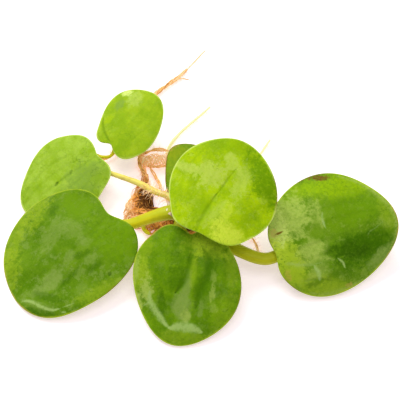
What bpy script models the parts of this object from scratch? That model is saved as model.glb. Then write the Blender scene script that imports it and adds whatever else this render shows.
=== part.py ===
"""Amazon frogbit: one floating rosette and its plantlet, lifted out of the water.

The plant lies on a flat surface. +Z is up and the origin is on that surface, under
the crown, where the flattened root tuft rests. Sizes below are in millimetres and
angles in degrees; MM turns them into Blender's metres.
"""

import math
from typing import NamedTuple

import bmesh
import bpy
from mathutils import Matrix, Vector

MM = 0.001
COLLECTION = "amazon_frogbit"
GAP = 0.3
MERGE_DISTANCE = 0.001

# Blade: a round, heart-based pad, thin at its rim, with a spongy cushion underneath.
TOP_THICKNESS = 0.35
UNDER_THICKNESS = 0.4
CUSHION_THICKNESS = 1.3
CUSHION_REACH = 0.78
FULL_LENGTH = 24.0
BLADE_SEGMENTS = 32
BLADE_RINGS = 12
RING_CROWDING = 0.5
LOBE_PER_NOTCH_ANGLE = 2.4
LOBE_SPREAD_PER_NOTCH_ANGLE = 1.2
TIP_ANGLE = 0.5

# Stalks, stolon and roots are round tubes along smooth routes.
TUBE_BEVEL_RESOLUTION = 2
STALK_STEP = 1.5
STALK_LEVEL_START = 0.6
NOTCH_INSET = 1.2
ROOT_STEP = 2.4

# Crown: radius and height pairs of its outer side, top to bottom.
CROWN_PROFILE = ((0.0, 9.2), (0.9, 9.0), (1.5, 8.2), (1.75, 7.0), (1.6, 5.6), (1.1, 4.7), (0.0, 4.4))
PLANTLET_PROFILE = ((0.0, 3.7), (0.5, 3.6), (0.8, 3.1), (0.9, 2.4), (0.7, 1.6), (0.0, 1.3))
CROWN_STEPS = 16

# Root tuft: a ball drawn out along a route on the surface, flat where it lies.
TUFT_ROUTE = ((2.4, -0.4, 0.0), (-3.4, 1.4, 0.0), (-8.2, 3.1, 0.0), (-7.7, 5.8, 0.0), (-7.1, 8.8, 0.0))
TUFT_HALF_WIDTH = 2.6
TUFT_HEIGHT = 3.0
TUFT_SINK = 0.35
TUFT_CROWN_RISE = 2.6
TUFT_CROWN_REACH = 4.5
TUFT_LUMP = 0.08
TUFT_WAVES = (9, 5, 4)
TUFT_STEP = 0.7
TUFT_SEGMENTS = 28
TUFT_RINGS = 14

GREEN = (0.16, 0.36, 0.02)
LIME_GREEN = (0.30, 0.50, 0.02)
YOUNG_GREEN = (0.30, 0.50, 0.05)
STALK_GREEN = (0.47, 0.50, 0.04)
STOLON_YELLOW = (0.62, 0.52, 0.12)
ROOT_BROWN = (0.34, 0.16, 0.05)
ROOT_ORANGE = (0.60, 0.30, 0.10)
ROOT_PALE = (0.75, 0.68, 0.35)
LEAF_ROUGHNESS = 0.35
STALK_ROUGHNESS = 0.5
ROOT_ROUGHNESS = 0.8


class Crown(NamedTuple):
    """A short turned stem: where it stands and the outline of its side."""

    place: tuple
    profile: tuple


class Leaf(NamedTuple):
    """One blade: where its notch is, how it faces, and its outline and curve."""

    joint: tuple
    heading: float
    pitch: float
    roll: float
    length: float
    width: float
    notch: float = 0.08
    notch_angle: float = 0.34
    droop: float = 1.0
    dome: float = 1.0
    tip: float = 0.02
    lobe: float = 0.02
    skew: float = 0.0
    cant: float = 0.0
    egg: float = 0.0
    colour: tuple = GREEN


class Stalk(NamedTuple):
    """A leaf stalk: its crown, the height it leaves at, its bends and its end widths."""

    crown: str
    height: float
    bends: tuple
    start: float
    end: float


class Root(NamedTuple):
    """A single root: the points of its route, and its diameter at each end."""

    route: tuple
    start: float
    end: float
    colour: tuple = ROOT_ORANGE


CROWNS = {
    "crown": Crown(place=(0.0, 0.0), profile=CROWN_PROFILE),
    "plantlet_crown": Crown(place=(-19.0, 14.2), profile=PLANTLET_PROFILE),
}

LEAVES = {
    "leaf_left": Leaf(
        joint=(-13.3, 0.1, 6.2), heading=226.5, pitch=-8, roll=2, length=25.6, width=23.8,
        notch=0.2, droop=3.4, dome=1.4, tip=0.0, lobe=0.03, skew=-0.12, cant=-0.08, egg=0.055,
    ),
    "leaf_front": Leaf(
        joint=(1.9, -5.7, 8.9), heading=261.5, pitch=-16.5, roll=0, length=20.9, width=19.6,
        notch=0.15, notch_angle=0.18, droop=3.2, dome=1.3, tip=0.05, lobe=0.05, skew=0.055,
        cant=0.12, egg=0.09,
    ),
    "leaf_centre": Leaf(
        joint=(3.7, -6.8, 11.2), heading=63.5, pitch=16, roll=6, length=18.4, width=20.1,
        notch=0.04, notch_angle=0.22, droop=0.5, dome=1.3, tip=0.08, lobe=0.077, skew=-0.03,
        cant=0.055, colour=LIME_GREEN,
    ),
    "leaf_right": Leaf(
        joint=(17.3, -8.4, 5.9), heading=17.5, pitch=6.5, roll=20, length=23.4, width=22.2,
        notch=0.08, notch_angle=0.22, droop=0.7, dome=3.1, tip=0.07, lobe=0.0, skew=0.1, cant=0.1, egg=0.04,
    ),
    "leaf_rear": Leaf(
        joint=(4.2, 3.2, 5.0), heading=110, pitch=5, roll=8, length=13.6, width=11.5,
        notch=0.035, notch_angle=0.42, droop=0.8, dome=0.8, tip=0.01, lobe=0.085, skew=-0.13,
        cant=-0.24, egg=0.035,
    ),
    "plantlet_leaf_left": Leaf(
        joint=(-15.8, 12.8, 6.0), heading=214, pitch=-10, roll=-4, length=17.5, width=16.4,
        notch=0.1, notch_angle=0.23, droop=1.8, dome=1.2, tip=0.08, lobe=0.07, skew=-0.07,
        cant=0.155, egg=0.075, colour=YOUNG_GREEN,
    ),
    "plantlet_leaf_rear": Leaf(
        joint=(-13.5, 15.3, 6.0), heading=46.5, pitch=16, roll=3, length=14.0, width=12.4,
        notch=0.17, notch_angle=0.24, droop=0.8, dome=0.8, tip=0.05, lobe=0.08, skew=0.04, cant=0.21,
        colour=YOUNG_GREEN,
    ),
}

STALKS = {
    "leaf_left": Stalk("crown", 7.0, ((-5.5, -0.8, 5.9), (-9.0, -1.3, 4.4), (-12.0, -1.2, 4.0)), 2.1, 1.8),
    "leaf_front": Stalk("crown", 7.2, ((-0.3, -3.2, 7.3), (0.8, -4.8, 7.3)), 1.7, 1.5),
    "leaf_centre": Stalk("crown", 8.2, ((2.8, -2.2, 9.1), (3.5, -4.0, 9.9)), 1.5, 1.4),
    "leaf_right": Stalk("crown", 6.0, ((6.4, -4.3, 5.1), (11.2, -7.1, 4.7), (15.3, -8.3, 4.2)), 2.5, 2.3),
    "leaf_rear": Stalk("crown", 6.2, ((3.0, 2.3, 3.8),), 1.2, 1.1),
    "plantlet_leaf_left": Stalk("plantlet_crown", 2.6, ((-19.4, 12.2, 2.9), (-18.2, 11.8, 3.6)), 0.9, 0.8),
    "plantlet_leaf_rear": Stalk(
        "plantlet_crown", 2.8, ((-16.9, 14.9, 3.0), (-15.2, 14.3, 3.1), (-13.4, 14.2, 3.9)), 0.7, 0.6,
    ),
}

STOLON_BENDS = (
    (-2.3, 3.7, 6.1), (-4.7, 5.1, 5.5), (-8.0, 7.4, 4.8), (-12.2, 9.6, 4.0), (-15.8, 11.6, 3.0),
)
STOLON_START_HEIGHT = 5.8
STOLON_END_HEIGHT = 2.6
STOLON_DIAMETERS = (1.25, 0.85)

ROOTS = {
    "root_back": Root(
        ((-2.2, 4.9, 0.9), (-2.1, 11.0, 0.7), (-2.3, 18.4, 0.6), (5.6, 27.8, 0.5)), 0.9, 0.6, ROOT_PALE,
    ),
    "root_loop": Root(
        ((-7.25, 9.2, 0.9), (-7.9, 13.2, 0.8), (-7.8, 15.8, 0.9), (-5.6, 16.9, 1.9), (-2.6, 16.1, 2.1)),
        1.0, 0.7,
    ),
    "root_right": Root(
        ((2.7, -0.6, 0.9), (8.6, -0.6, 0.7), (13.0, -1.6, 0.6), (14.8, -6.2, 0.5)), 0.8, 0.5,
    ),
    "root_far_right": Root(
        ((2.4, 1.3, 0.9), (8.0, 8.6, 0.7), (14.0, 14.6, 0.6), (17.4, 19.9, 0.5)), 0.8, 0.5, ROOT_PALE,
    ),
    "plantlet_root": Root(
        (
            (-18.4, 15.2, 1.6), (-16.9, 16.1, 0.9), (-15.2, 15.3, 0.8), (-13.1, 16.9, 0.8),
            (-9.8, 23.6, 0.8), (-5.9, 30.2, 0.8), (-0.7, 35.2, 0.6), (4.7, 42.0, 0.5),
        ),
        1.0, 0.5,
    ),
}


def new_material(name, colour, roughness):
    """One plain material for each group of like pieces."""
    found = bpy.data.materials.get(name)
    if found:
        return found
    material = bpy.data.materials.new(name)
    material.use_nodes = True
    shader = material.node_tree.nodes["Principled BSDF"]
    shader.inputs["Base Color"].default_value = (*colour, 1.0)
    shader.inputs["Roughness"].default_value = roughness
    shader.inputs["Metallic"].default_value = 0.0
    return material


def add_object(name, data, material):
    """Links an object of this mesh or curve into the plant's collection."""
    obj = bpy.data.objects.new(name, data)
    data.materials.append(material)
    bpy.data.collections[COLLECTION].objects.link(obj)
    return obj


def smooth_route(route, step):
    """Points about a step apart on the Hermite curve through a route."""
    points = [Vector(p) for p in route]
    last = len(points) - 1
    ways = [(points[min(i + 1, last)] - points[max(i - 1, 0)]).normalized() for i in range(last + 1)]
    line = []
    for i in range(last):
        here, after = points[i], points[i + 1]
        span = (after - here).length
        pieces = max(1, round(span / step))
        for k in range(pieces):
            t = k / pieces
            line.append(
                here * (2 * t**3 - 3 * t**2 + 1) + after * (3 * t**2 - 2 * t**3)
                + ways[i] * span * (t**3 - 2 * t**2 + t) + ways[i + 1] * span * (t**3 - t**2)
            )
    line.append(points[-1])
    return line


def blade_point(leaf, angle, reach):
    """The blade's middle surface, from its notch: angle 0 points at the tip."""
    from_notch = math.pi - abs(angle)
    radius = 1 - leaf.notch * math.exp(-((from_notch / leaf.notch_angle) ** 2))
    radius += leaf.tip * math.exp(-((angle / TIP_ANGLE) ** 2))
    from_lobe = from_notch - LOBE_PER_NOTCH_ANGLE * leaf.notch_angle
    spread = LOBE_SPREAD_PER_NOTCH_ANGLE * leaf.notch_angle
    radius += leaf.lobe * math.exp(-((from_lobe / spread) ** 2))
    half_length = leaf.length / 2
    half_width = leaf.width / 2
    across = 1 + leaf.skew * math.sin(angle) - leaf.egg * math.cos(angle)
    across += leaf.cant * math.sin(angle) * math.cos(angle)
    x = half_length * (1 - leaf.notch + radius * reach * math.cos(angle))
    y = half_width * across * radius * reach * math.sin(angle)
    along = x / leaf.length
    sideways = y / half_width
    z = -leaf.droop * along * abs(along) - leaf.dome * sideways**2
    return Vector((x, y, z))


def blade_frame(leaf):
    """Turns the blade's own axes, tip along +X and face up, to where the leaf lies."""
    turn = Matrix.Rotation(math.radians(leaf.heading), 4, "Z")
    turn = turn @ Matrix.Rotation(math.radians(-leaf.pitch), 4, "Y")
    turn = turn @ Matrix.Rotation(math.radians(leaf.roll), 4, "X")
    return Matrix.Translation(Vector(leaf.joint) * MM) @ turn


def make_blade(name, leaf):
    """A sphere pressed to the outline: its poles become the blade's two faces."""
    bm = bmesh.new()
    bmesh.ops.create_uvsphere(bm, u_segments=BLADE_SEGMENTS, v_segments=BLADE_RINGS, radius=1)
    for vert in bm.verts:
        level = vert.co.z
        reach = math.hypot(vert.co.x, vert.co.y) ** RING_CROWDING
        point = blade_point(leaf, math.atan2(vert.co.y, vert.co.x), reach)
        if level > 0:
            point.z += TOP_THICKNESS * level
        else:
            cushion = max(0.0, 1 - (reach / CUSHION_REACH) ** 2) ** 2
            cushion *= CUSHION_THICKNESS * leaf.length / FULL_LENGTH
            point.z += (UNDER_THICKNESS + cushion) * level
        vert.co = point * MM
    mesh = bpy.data.meshes.new(name)
    bm.to_mesh(mesh)
    bm.free()
    mesh.shade_smooth()
    obj = add_object(name, mesh, new_material(f"leaf {leaf.colour}", leaf.colour, LEAF_ROUGHNESS))
    obj.matrix_world = blade_frame(leaf)


def make_tube(name, route, start, end, step, material):
    """A tapered round tube: a poly curve with a bevel and filled ends."""
    line = smooth_route(route, step)
    curve = bpy.data.curves.new(name, "CURVE")
    curve.dimensions = "3D"
    curve.twist_mode = "MINIMUM"
    curve.bevel_depth = start / 2 * MM
    curve.bevel_resolution = TUBE_BEVEL_RESOLUTION
    curve.use_fill_caps = True
    spline = curve.splines.new("POLY")
    spline.points.add(len(line) - 1)
    for i, point in enumerate(line):
        share = i / (len(line) - 1)
        spline.points[i].co = (*(point * MM), 1.0)
        spline.points[i].radius = 1 + (end / start - 1) * share
    add_object(name, curve, material)


def crown_side(crown, height, towards, out=0.0):
    """A point outside a crown's side by a gap and more, on the way to another point."""
    sides = zip(crown.profile, crown.profile[1:])
    upper, lower = next(pair for pair in sides if pair[1][1] <= height)
    share = (upper[1] - height) / (upper[1] - lower[1])
    radius = upper[0] + (lower[0] - upper[0]) * share
    way = Vector((towards[0] - crown.place[0], towards[1] - crown.place[1])).normalized()
    reach = radius + GAP + out
    return (crown.place[0] + way.x * reach, crown.place[1] + way.y * reach, height)


def make_stalk(name, leaf, stalk):
    """A stalk from its crown's side to just under its blade's notch."""
    start = crown_side(CROWNS[stalk.crown], stalk.height, stalk.bends[0])
    level = crown_side(CROWNS[stalk.crown], stalk.height, stalk.bends[0], STALK_LEVEL_START)
    under_notch = Vector((NOTCH_INSET, 0, -UNDER_THICKNESS - GAP - stalk.end / 2))
    end = blade_frame(leaf) @ (under_notch * MM) / MM
    route = (start, level, *stalk.bends, end)
    material = new_material("stalk", STALK_GREEN, STALK_ROUGHNESS)
    make_tube(name, route, stalk.start, stalk.end, STALK_STEP, material)


def make_stolon():
    """The runner between the two crowns."""
    start = crown_side(CROWNS["crown"], STOLON_START_HEIGHT, STOLON_BENDS[0])
    end = crown_side(CROWNS["plantlet_crown"], STOLON_END_HEIGHT, STOLON_BENDS[-1])
    material = new_material("stolon", STOLON_YELLOW, STALK_ROUGHNESS)
    make_tube("stolon", (start, *STOLON_BENDS, end), *STOLON_DIAMETERS, STALK_STEP, material)


def make_crown(name, crown):
    """A short turned stem that the stalks grow from."""
    mesh = bpy.data.meshes.new(name)
    verts = [(radius * MM, 0.0, height * MM) for radius, height in crown.profile]
    mesh.from_pydata(verts, [(i, i + 1) for i in range(len(verts) - 1)], [])
    obj = add_object(name, mesh, new_material("stalk", STALK_GREEN, STALK_ROUGHNESS))
    obj.location = Vector((*crown.place, 0.0)) * MM
    turned = obj.modifiers.new("turned", "SCREW")
    turned.steps = turned.render_steps = CROWN_STEPS
    turned.use_merge_vertices = True
    turned.merge_threshold = MERGE_DISTANCE * MM


def make_tuft(name):
    """The matted roots under the crown, cut flat by the surface they lie on."""
    line = smooth_route(TUFT_ROUTE, TUFT_STEP)
    bm = bmesh.new()
    bmesh.ops.create_uvsphere(bm, u_segments=TUFT_SEGMENTS, v_segments=TUFT_RINGS, radius=1)
    for vert in bm.verts:
        ball = vert.co.copy()
        place = (1 - ball.x) / 2 * (len(line) - 1)
        step = min(int(place), len(line) - 2)
        way = line[step + 1] - line[step]
        centre = line[step] + way * (place - step)
        side = Vector((-way.y, way.x, 0)).normalized()
        lump = 1 + TUFT_LUMP * math.prod(math.cos(wave * at) for wave, at in zip(TUFT_WAVES, ball))
        near_crown = max(0.0, 1 - centre.length / TUFT_CROWN_REACH)
        height = TUFT_HEIGHT + TUFT_CROWN_RISE * near_crown * (3 - 2 * near_crown) * near_crown
        point = centre + side * ball.y * TUFT_HALF_WIDTH * lump
        point.z = (ball.z + TUFT_SINK) / (1 + TUFT_SINK) * height * lump
        vert.co = point * MM
    cut = bmesh.ops.bisect_plane(
        bm, geom=bm.verts[:] + bm.edges[:] + bm.faces[:], plane_co=(0, 0, 0), plane_no=(0, 0, 1),
        clear_inner=True, dist=MERGE_DISTANCE * MM,
    )
    rim = [edge for edge in cut["geom_cut"] if isinstance(edge, bmesh.types.BMEdge)]
    bmesh.ops.contextual_create(bm, geom=rim)
    bmesh.ops.recalc_face_normals(bm, faces=bm.faces[:])
    mesh = bpy.data.meshes.new(name)
    bm.to_mesh(mesh)
    bm.free()
    add_object(name, mesh, new_material("root tuft", ROOT_BROWN, ROOT_ROUGHNESS))


def main():
    for obj in list(bpy.data.objects):
        bpy.data.objects.remove(obj)
    collection = bpy.data.collections.new(COLLECTION)
    bpy.context.scene.collection.children.link(collection)
    for name, crown in CROWNS.items():
        make_crown(name, crown)
    for name, leaf in LEAVES.items():
        make_blade(name, leaf)
        make_stalk(name.replace("leaf", "stalk"), leaf, STALKS[name])
    make_stolon()
    make_tuft("root_tuft")
    for name, root in ROOTS.items():
        material = new_material(f"root {root.colour}", root.colour, ROOT_ROUGHNESS)
        make_tube(name, root.route, root.start, root.end, ROOT_STEP, material)


main()
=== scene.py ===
"""Amazon frogbit: the looks of one floating rosette and its plantlet, laid on a surface.

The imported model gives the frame. Every piece is a closed surface worked out with numpy
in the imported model's axes: +Z up, origin under the crown on the surface that the plant
lies on. Shapes are in millimetres; MM turns them into Blender's metres. A blade's own
axes start at its notch: +X along the midrib to the tip, +Y to its left, +Z up.
"""

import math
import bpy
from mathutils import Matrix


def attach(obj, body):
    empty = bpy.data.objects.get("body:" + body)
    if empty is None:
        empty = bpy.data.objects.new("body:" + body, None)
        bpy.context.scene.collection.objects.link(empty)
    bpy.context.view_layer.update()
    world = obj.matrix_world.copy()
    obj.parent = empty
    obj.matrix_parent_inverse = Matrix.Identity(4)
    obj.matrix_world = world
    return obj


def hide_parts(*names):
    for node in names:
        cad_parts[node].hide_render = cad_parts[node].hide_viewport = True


bl_info = {
    "name": "Amazon Frogbit",
    "version": (1, 0, 0),
    "blender": (4, 5, 0),
    "location": "3D Viewport > Sidebar > Frogbit",
    "description": "Dresses the packed frogbit with its leaves, stalks, stolon and roots",
    "category": "Add Mesh",
}

from typing import NamedTuple

import bpy
import numpy as np
from bpy.props import FloatProperty, FloatVectorProperty, IntProperty, PointerProperty
from mathutils import Matrix, Vector

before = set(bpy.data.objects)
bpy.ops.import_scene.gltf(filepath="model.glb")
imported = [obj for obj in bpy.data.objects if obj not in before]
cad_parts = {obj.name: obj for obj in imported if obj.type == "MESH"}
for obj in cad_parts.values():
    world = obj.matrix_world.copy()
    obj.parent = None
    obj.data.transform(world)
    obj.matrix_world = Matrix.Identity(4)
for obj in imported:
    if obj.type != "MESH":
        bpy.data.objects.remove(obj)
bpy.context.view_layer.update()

MM = 0.001
BODY = "root"
UPRIGHT = np.array((0.0, 0.0, 1.0))
FLOOR_GAP = 0.02
TUBE_END = 0.4

# Blade: the same outline and thickness as its solid, with veins, furrows and cells on it.
TOP_THICKNESS = 0.35
UNDER_THICKNESS = 0.4
CUSHION_THICKNESS = 1.3
CUSHION_REACH = 0.78
FULL_LENGTH = 24.0
LOBE_PER_NOTCH_ANGLE = 2.4
LOBE_SPREAD_PER_NOTCH_ANGLE = 1.2
TIP_ANGLE = 0.5
BLADE_COLUMNS = 240
TOP_RINGS = 76
UNDER_RINGS = 44
RING_CROWDING = 1.7
FIRST_SEED = 11
SEED_STEP = 7
SWELL_START = (1.0, 6.0)
SWELL_WAVES = (7.0, 15.0)
PUCKER_WAVES = (1.6, 4.5)

# Veins: bow and width of the arcs, and the shares of the length where they fade in and out.
VEIN_ARCS = (-0.74, -0.5, -0.26, 0.0, 0.26, 0.5, 0.74)
VEIN_WIDTH = 0.28
VEIN_ROUNDNESS = 0.6
VEIN_FADE = (0.1, 0.35)
RIB_FADE = (0.98, 0.6)
RIB_RETURN = 0.75

# Strokes and painted marks: a mark lies on the side whose place is at the paint height, and
# a row that gives only the first five numbers has this turn and raggedness.
# Grooves are darkened with painted shade, glosses are painted highlights and pale bands are painted
# sheen.
STROKE_KINDS = ("groove", "gloss", "pale")
STROKE_STEPS = 48
STROKE_END = 0.25
STROKE_TAPER = 0.7
GROOVE_SHADE = 0.85
PAINT_HEIGHT = 3.0
MARK_NUMBERS = 5
MARK_ENDING = (0.0, 0.8)

# Spongy cells of the underside: how far and in what waves they stray, and their edges.
CELL_STRAY = 0.22
CELL_WAVES = (4.0, 9.0)
CELL_EDGES = (-1.3, 1.2)
CELL_FADE = (-0.95, -0.7)

# Stalks run from inside the crown to a keel under the blade.
NOTCH_INSET = 1.2
GAP = 0.3
STALK_START = 0.3
STALK_CLEAR = 0.6
STALK_ROWS = 96
STALK_COLUMNS = 32
STALK_LINES = 11
STALK_LINE_DEPTH = 0.02
STALK_TWIST = 3.0
STALK_FURROW = 0.09
STALK_FURROW_WIDTH = 0.4
STALK_FLATNESS = 0.92
STALK_FOOT_SWELL = 0.22
STALK_FOOT_REACH = 0.12
KEEL_STATIONS = (0.16, 0.3, 0.5, 0.72)
KEEL_RADII = (0.75, 0.6, 0.4, 0.12)
KEEL_SINK = 0.2

# Crown: radius and height pairs of its outer side from the top down, and its ribbing as
# depth, ribs in a turn and lean with height.
CROWN_PROFILE = (
    (0.0, 9.2), (0.9, 9.0), (1.5, 8.2), (1.75, 7.0), (1.6, 5.6), (1.1, 4.7), (0.0, 4.4),
)
PLANTLET_PROFILE = ((0.0, 3.7), (0.5, 3.6), (0.8, 3.1), (0.9, 2.4), (0.7, 1.6), (0.0, 1.3))
CROWN_RIBS = ((0.07, 5, 0.9), (0.04, 9, -1.7), (0.03, 0, 7.0))
CROWN_FOOT_DEPTH = 0.7
CROWN_ROWS = 44
CROWN_COLUMNS = 60

# Papery scales: feet and tips, the rise between them, widths and tones.
SCALE_FEET = (
    (-1.6, -0.5, 7.4), (-1.2, -1.3, 7.6), (0.2, -1.7, 7.4),
    (1.5, -0.6, 7.4), (-1.3, 1.0, 6.6), (0.9, 1.4, 7.0),
)
SCALE_TIPS = (
    (-2.9, -0.1, 8.0), (-2.2, -1.3, 8.6), (0.4, -2.7, 8.6),
    (2.6, -1.0, 8.3), (-2.4, 1.8, 7.6), (1.6, 2.3, 7.9),
)
SCALE_RISE = 0.45
SCALE_WIDTHS = (0.36, 0.45, 0.6, 0.55, 0.6, 0.5)
SCALE_TONES = (0.5, 0.25, 0.05, 0.1, 0.3, 0.3)
SCALE_ROWS = 16
SCALE_COLUMNS = 14
SCALE_END = 0.15
SCALE_FULLNESS = 0.8
SCALE_FLATNESS = 0.13

# Root tuft: strands that run along and over a mound on the surface.
TUFT_ROUTE = (
    (2.4, -0.4, 0.0), (-3.4, 1.4, 0.0), (-8.2, 3.1, 0.0), (-7.7, 5.8, 0.0), (-7.1, 8.8, 0.0),
)
TUFT_BRIM = (
    (-6.4, -0.6), (-9.6, 1.2), (-10.9, 2.6), (-10.1, 4.8),
    (-9.0, 6.8), (-8.0, 8.6), (-6.2, 8.9), (-5.2, 7.6),
)
TUFT_STEPS = 160
BRIM_STEPS = 200
TUFT_HALF_WIDTH = 2.6
TUFT_HEIGHT = 3.0
TUFT_SINK = 0.35
TUFT_CROWN_RISE = 2.6
TUFT_CROWN_REACH = 4.5
TUFT_HEART = (-6.2, 5.2)
TUFT_HEART_REACH = 2.3
TUFT_EDGE = (-5.4, 4.2)
TUFT_EDGE_LEAN = 0.2
TUFT_EDGE_PULL = 0.85
TUFT_EDGE_FADE = (-1.0, 0.2)
TUFT_TONE = 0.45
TUFT_TONE_RISE = 0.45
TUFT_TONE_EDGE = (7.4, 9.8)
TUFT_TONE_HEART = 0.65
WISP_TONE_RISE = 0.6
CORE_SHARE = 0.5
CORE_SHIFT = 1.3
CORE_SHIFT_START = (0.3, 0.6)
CORE_ENDS = (0.02, 0.98)
CORE_LUMP_DEPTH = 0.08
CORE_LUMPS = (9, 20, 31)
CORE_ROWS = 60
CORE_COLUMNS = 48

# Tuft strands: where they start, how far that scatters, and how far round the brim they end.
CROWN_START = (-2.6, 1.0)
CROWN_SCATTER = (1.1, 0.8)
CROWN_BRIM_SHARE = 0.45
FAR_START = (-6.7, 7.7)
FAR_SCATTER = (0.8, 0.5)
FAR_BRIM_SHARE = 0.55
HEART_PULL = 0.75
HEART_PULL_POWER = 1.5
STRAND_BOW = 0.9
STRAND_WAVES = (1.1, 3.0)
STRAND_LEVELS = (0.3, 1.0)
STRAND_SWAY = 0.12
STRAND_SWAYS = 1.3
STRAND_WIDTHS = (0.6, 1.35)
STRAND_FOOT = 1.05
STRAND_THINNING = 0.7

# Bundles: turns round the route, squeeze, offsets and widths as shares, and knots.
BUNDLE_TURNS = (0.8, 2.4)
BUNDLE_FLATNESS = 0.6
BUNDLE_OFFSETS = (0.3, 1.0)
BUNDLE_WIDTHS = (0.7, 1.1)
BUNDLE_COLUMNS = 8
KNOT_DEPTH = 0.14
KNOTS = 7

# Hairs: wisps of the tuft, and side hairs of the roots and the stolon.
HAIR_WIDTHS = (0.7, 1.2)
HAIR_SIDES = 4
WISP_BRIM_SHARE = 0.95
WISP_DEPTHS = (0.05, 0.9)
WISP_FOOT = 0.85
WISP_RISE = 0.8
WISP_REACH = (0.4, 1.3)
WISP_STRAY = (1, 1, 0.5)
WISP_MIDDLE = (0.4, 0.3, 0.0)
WISP_END = (0.5, 0.9, 0.4)
WISP_TIP = 0.45
WISP_LOWEST = 0.05
WISP_ROWS = 8
SIDE_HAIR_STEPS = 400
SIDE_HAIR_LEAN = 0.7
SIDE_HAIR_RISE = 0.25
SIDE_HAIR_SHORTEST = 0.45
SIDE_HAIR_BEND = 0.3
SIDE_HAIR_TIP = 0.5
SIDE_HAIR_ROWS = 7
SIDE_HAIR_TONES = 0.18

# Tints of the gloss on blades, stalks and roots.
GREEN_GLOSS = (0.8, 1.0, 0.1)
STALK_GLOSS = (1.0, 0.95, 0.4)
ROOT_GLOSS = (1.0, 0.8, 0.55)

# Shader noise: patches per unit, detail and roughness; the clouds' size gives their patches.
# Levels: the two between which a value rises, then what it rises from and to if not 0 and 1.
CLOUD_SIZE = 3.4
CLOUD_NOISE = (7.0, 0.74)
CLOUD_LEVELS = (0.36, 0.66)
OTHER_PLACE = (37.0, 11.0, 5.0)
ISLAND_NOISE = (0.55, 8.0, 0.78)
ISLAND_LEVELS = (0.51, 0.59)
ISLAND_HEIGHT = 0.5
FLECK_NOISE = (3.6, 4.0, 0.66)
DARK_FLECKS = (0.50, 0.74, 0.0, 0.5)
SHEEN_FLECKS = (0.48, 0.28, 0.0, 0.3)
WRINKLE_NOISE = (0.9, 1.5, 0.6)
WRINKLE_LEVELS = (0.0, 0.03, 1.0, 0.0)
WRINKLED_NOISE = (0.3, 3.0)
WRINKLED_LEVELS = (0.46, 0.6)
RIB_SCALES = (2.6, 0.3, 0.3)
RIB_NOISE = (1.0, 3.0)
RIB_LEVELS = (0.50, 0.78, 0.0, 0.3)
RIB_HEIGHT = 0.6
FINE_CELLS = 2.3
PATCH_NOISE = (0.8, 8.0, 0.78)
PATCH_STRAY = 4.0
PATCH_EDGE = (1.25, 0.55)
PATCH_BREAKS = (1.9, 8.0, 0.8)
PATCH_BREAK_LEVELS = (0.32, 0.62, 0.55, 1.3)
PALE_NOISE = (2.2, 6.0, 0.72)
PALE_LEVELS = (0.34, 0.54)
STREAK_NOISE = (1.5, 8.0, 0.8)
STREAK_LEVELS = (0.3, 0.7, 0.45, 1.35)
GLOSS_LEVELS = (0.1, 0.85)
HIGHLIGHT_COVER = 0.9
RIM_NOISE = (0.5, 2.0)
RIM_WIDTHS = (0.3, 0.7, 0.16, 0.42)
RIM_COVER = 0.9
UNDER_LEVELS = (0.1, 0.7)
UNDER_VEIL = 0.62
ROOT_BLOTCHES = (900.0, 3.0)
ROOT_SHADE_SHARE = 0.5
ROOT_BLOTCH_SHARE = 0.9
ROOT_DOTS = (2600.0, 1.0)
ROOT_DOT_LEVELS = (0.60, 0.72)
FIBRE_SCALES = (9.0, 1.2, 14.0)
FIBRE_NOISE = (1.0, 3.0)
FIBRE_LEVELS = (0.45, 0.75, 0.0, 0.45)
STALK_BLOTCHES = (420.0, 3.0)
STALK_BLOTCH_LEVELS = (0.5, 0.8, 0.0, 0.5)
STALK_FOOT_LEVELS = (0.02, 0.2)
STALK_UNDER_LEVELS = (0.05, 0.5)

# Stage: half the floor's width, and where the lights and the view's middle are, in metres.
FLOOR_REACH = 3.0
FLOOR_SHADES = ((0.90, 0.89, 0.89, 1), (0.93, 0.92, 0.92, 1))
KEY_PLACE = (-0.16, 0.30, 0.44)
FILL_PLACE = (0.05, -0.02, 0.55)
LIGHT_SIZE = 0.30
VIEW_MIDDLE = (0.0036, 0.0065, 0.0)

# Shader trees: the steps from node to node, and how many stand in a row.
NODE_STEPS = (190, -240)
NODES_IN_ROW = 12


class Blade(NamedTuple):
    """One blade: where its notch is, how it faces, and its outline and curve."""

    joint: tuple
    heading: float
    pitch: float
    roll: float
    length: float
    width: float
    notch: float = 0.08
    notch_angle: float = 0.34
    droop: float = 1.0
    dome: float = 1.0
    tip: float = 0.02
    lobe: float = 0.02
    skew: float = 0.0
    cant: float = 0.0
    egg: float = 0.0


class Finish(NamedTuple):
    """How one blade looks: its slot, colours, marks and relief.

    The soft marks on its face and margin are a colour, then rows of strength, x, y, half
    sizes in x and y, turn and raggedness; the last two may be left to MARK_ENDING. A stroke
    is a groove darkened with painted shade, a gloss with a painted highlight or a pale band
    of painted sheen, with its strength, its width, and x and y in turn.
    """

    slot: str
    light: str
    dark: str
    sheen: str
    rim: str
    face: tuple
    margin: tuple = ()
    strokes: tuple = ()
    # How much painted sheen the mottling's island patches lay on.
    sheen_islands: float = 0.3
    vein: float = 0.015
    rib_lean: float = 0.0
    rib: float = 0.05
    groove: float = 0.3
    swell: float = 0.16
    vein_shade: float = 0.12
    wrinkle: float = 0.4
    # The colour of the painted shade that darkens grooves, veins, wrinkles and the hollows between
    # the underside's cells.
    crease_shade: str = "dark_green"
    roughness: float = 0.5


class Stalk(NamedTuple):
    """A leaf stalk: its crown, the height it leaves at, its bends and its end widths."""

    crown: str
    height: float
    bends: tuple
    start: float
    end: float


class Crown(NamedTuple):
    """A short stem: where it stands and the outline of its side."""

    place: tuple
    profile: tuple


class Bundle(NamedTuple):
    """Strands wound round a route: how many, how far out, how thick, and their tones."""

    route: tuple
    strands: int
    spread: float
    width: float
    seed: int
    tones: tuple
    taper: float = 0.55
    rows: int = 80


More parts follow.
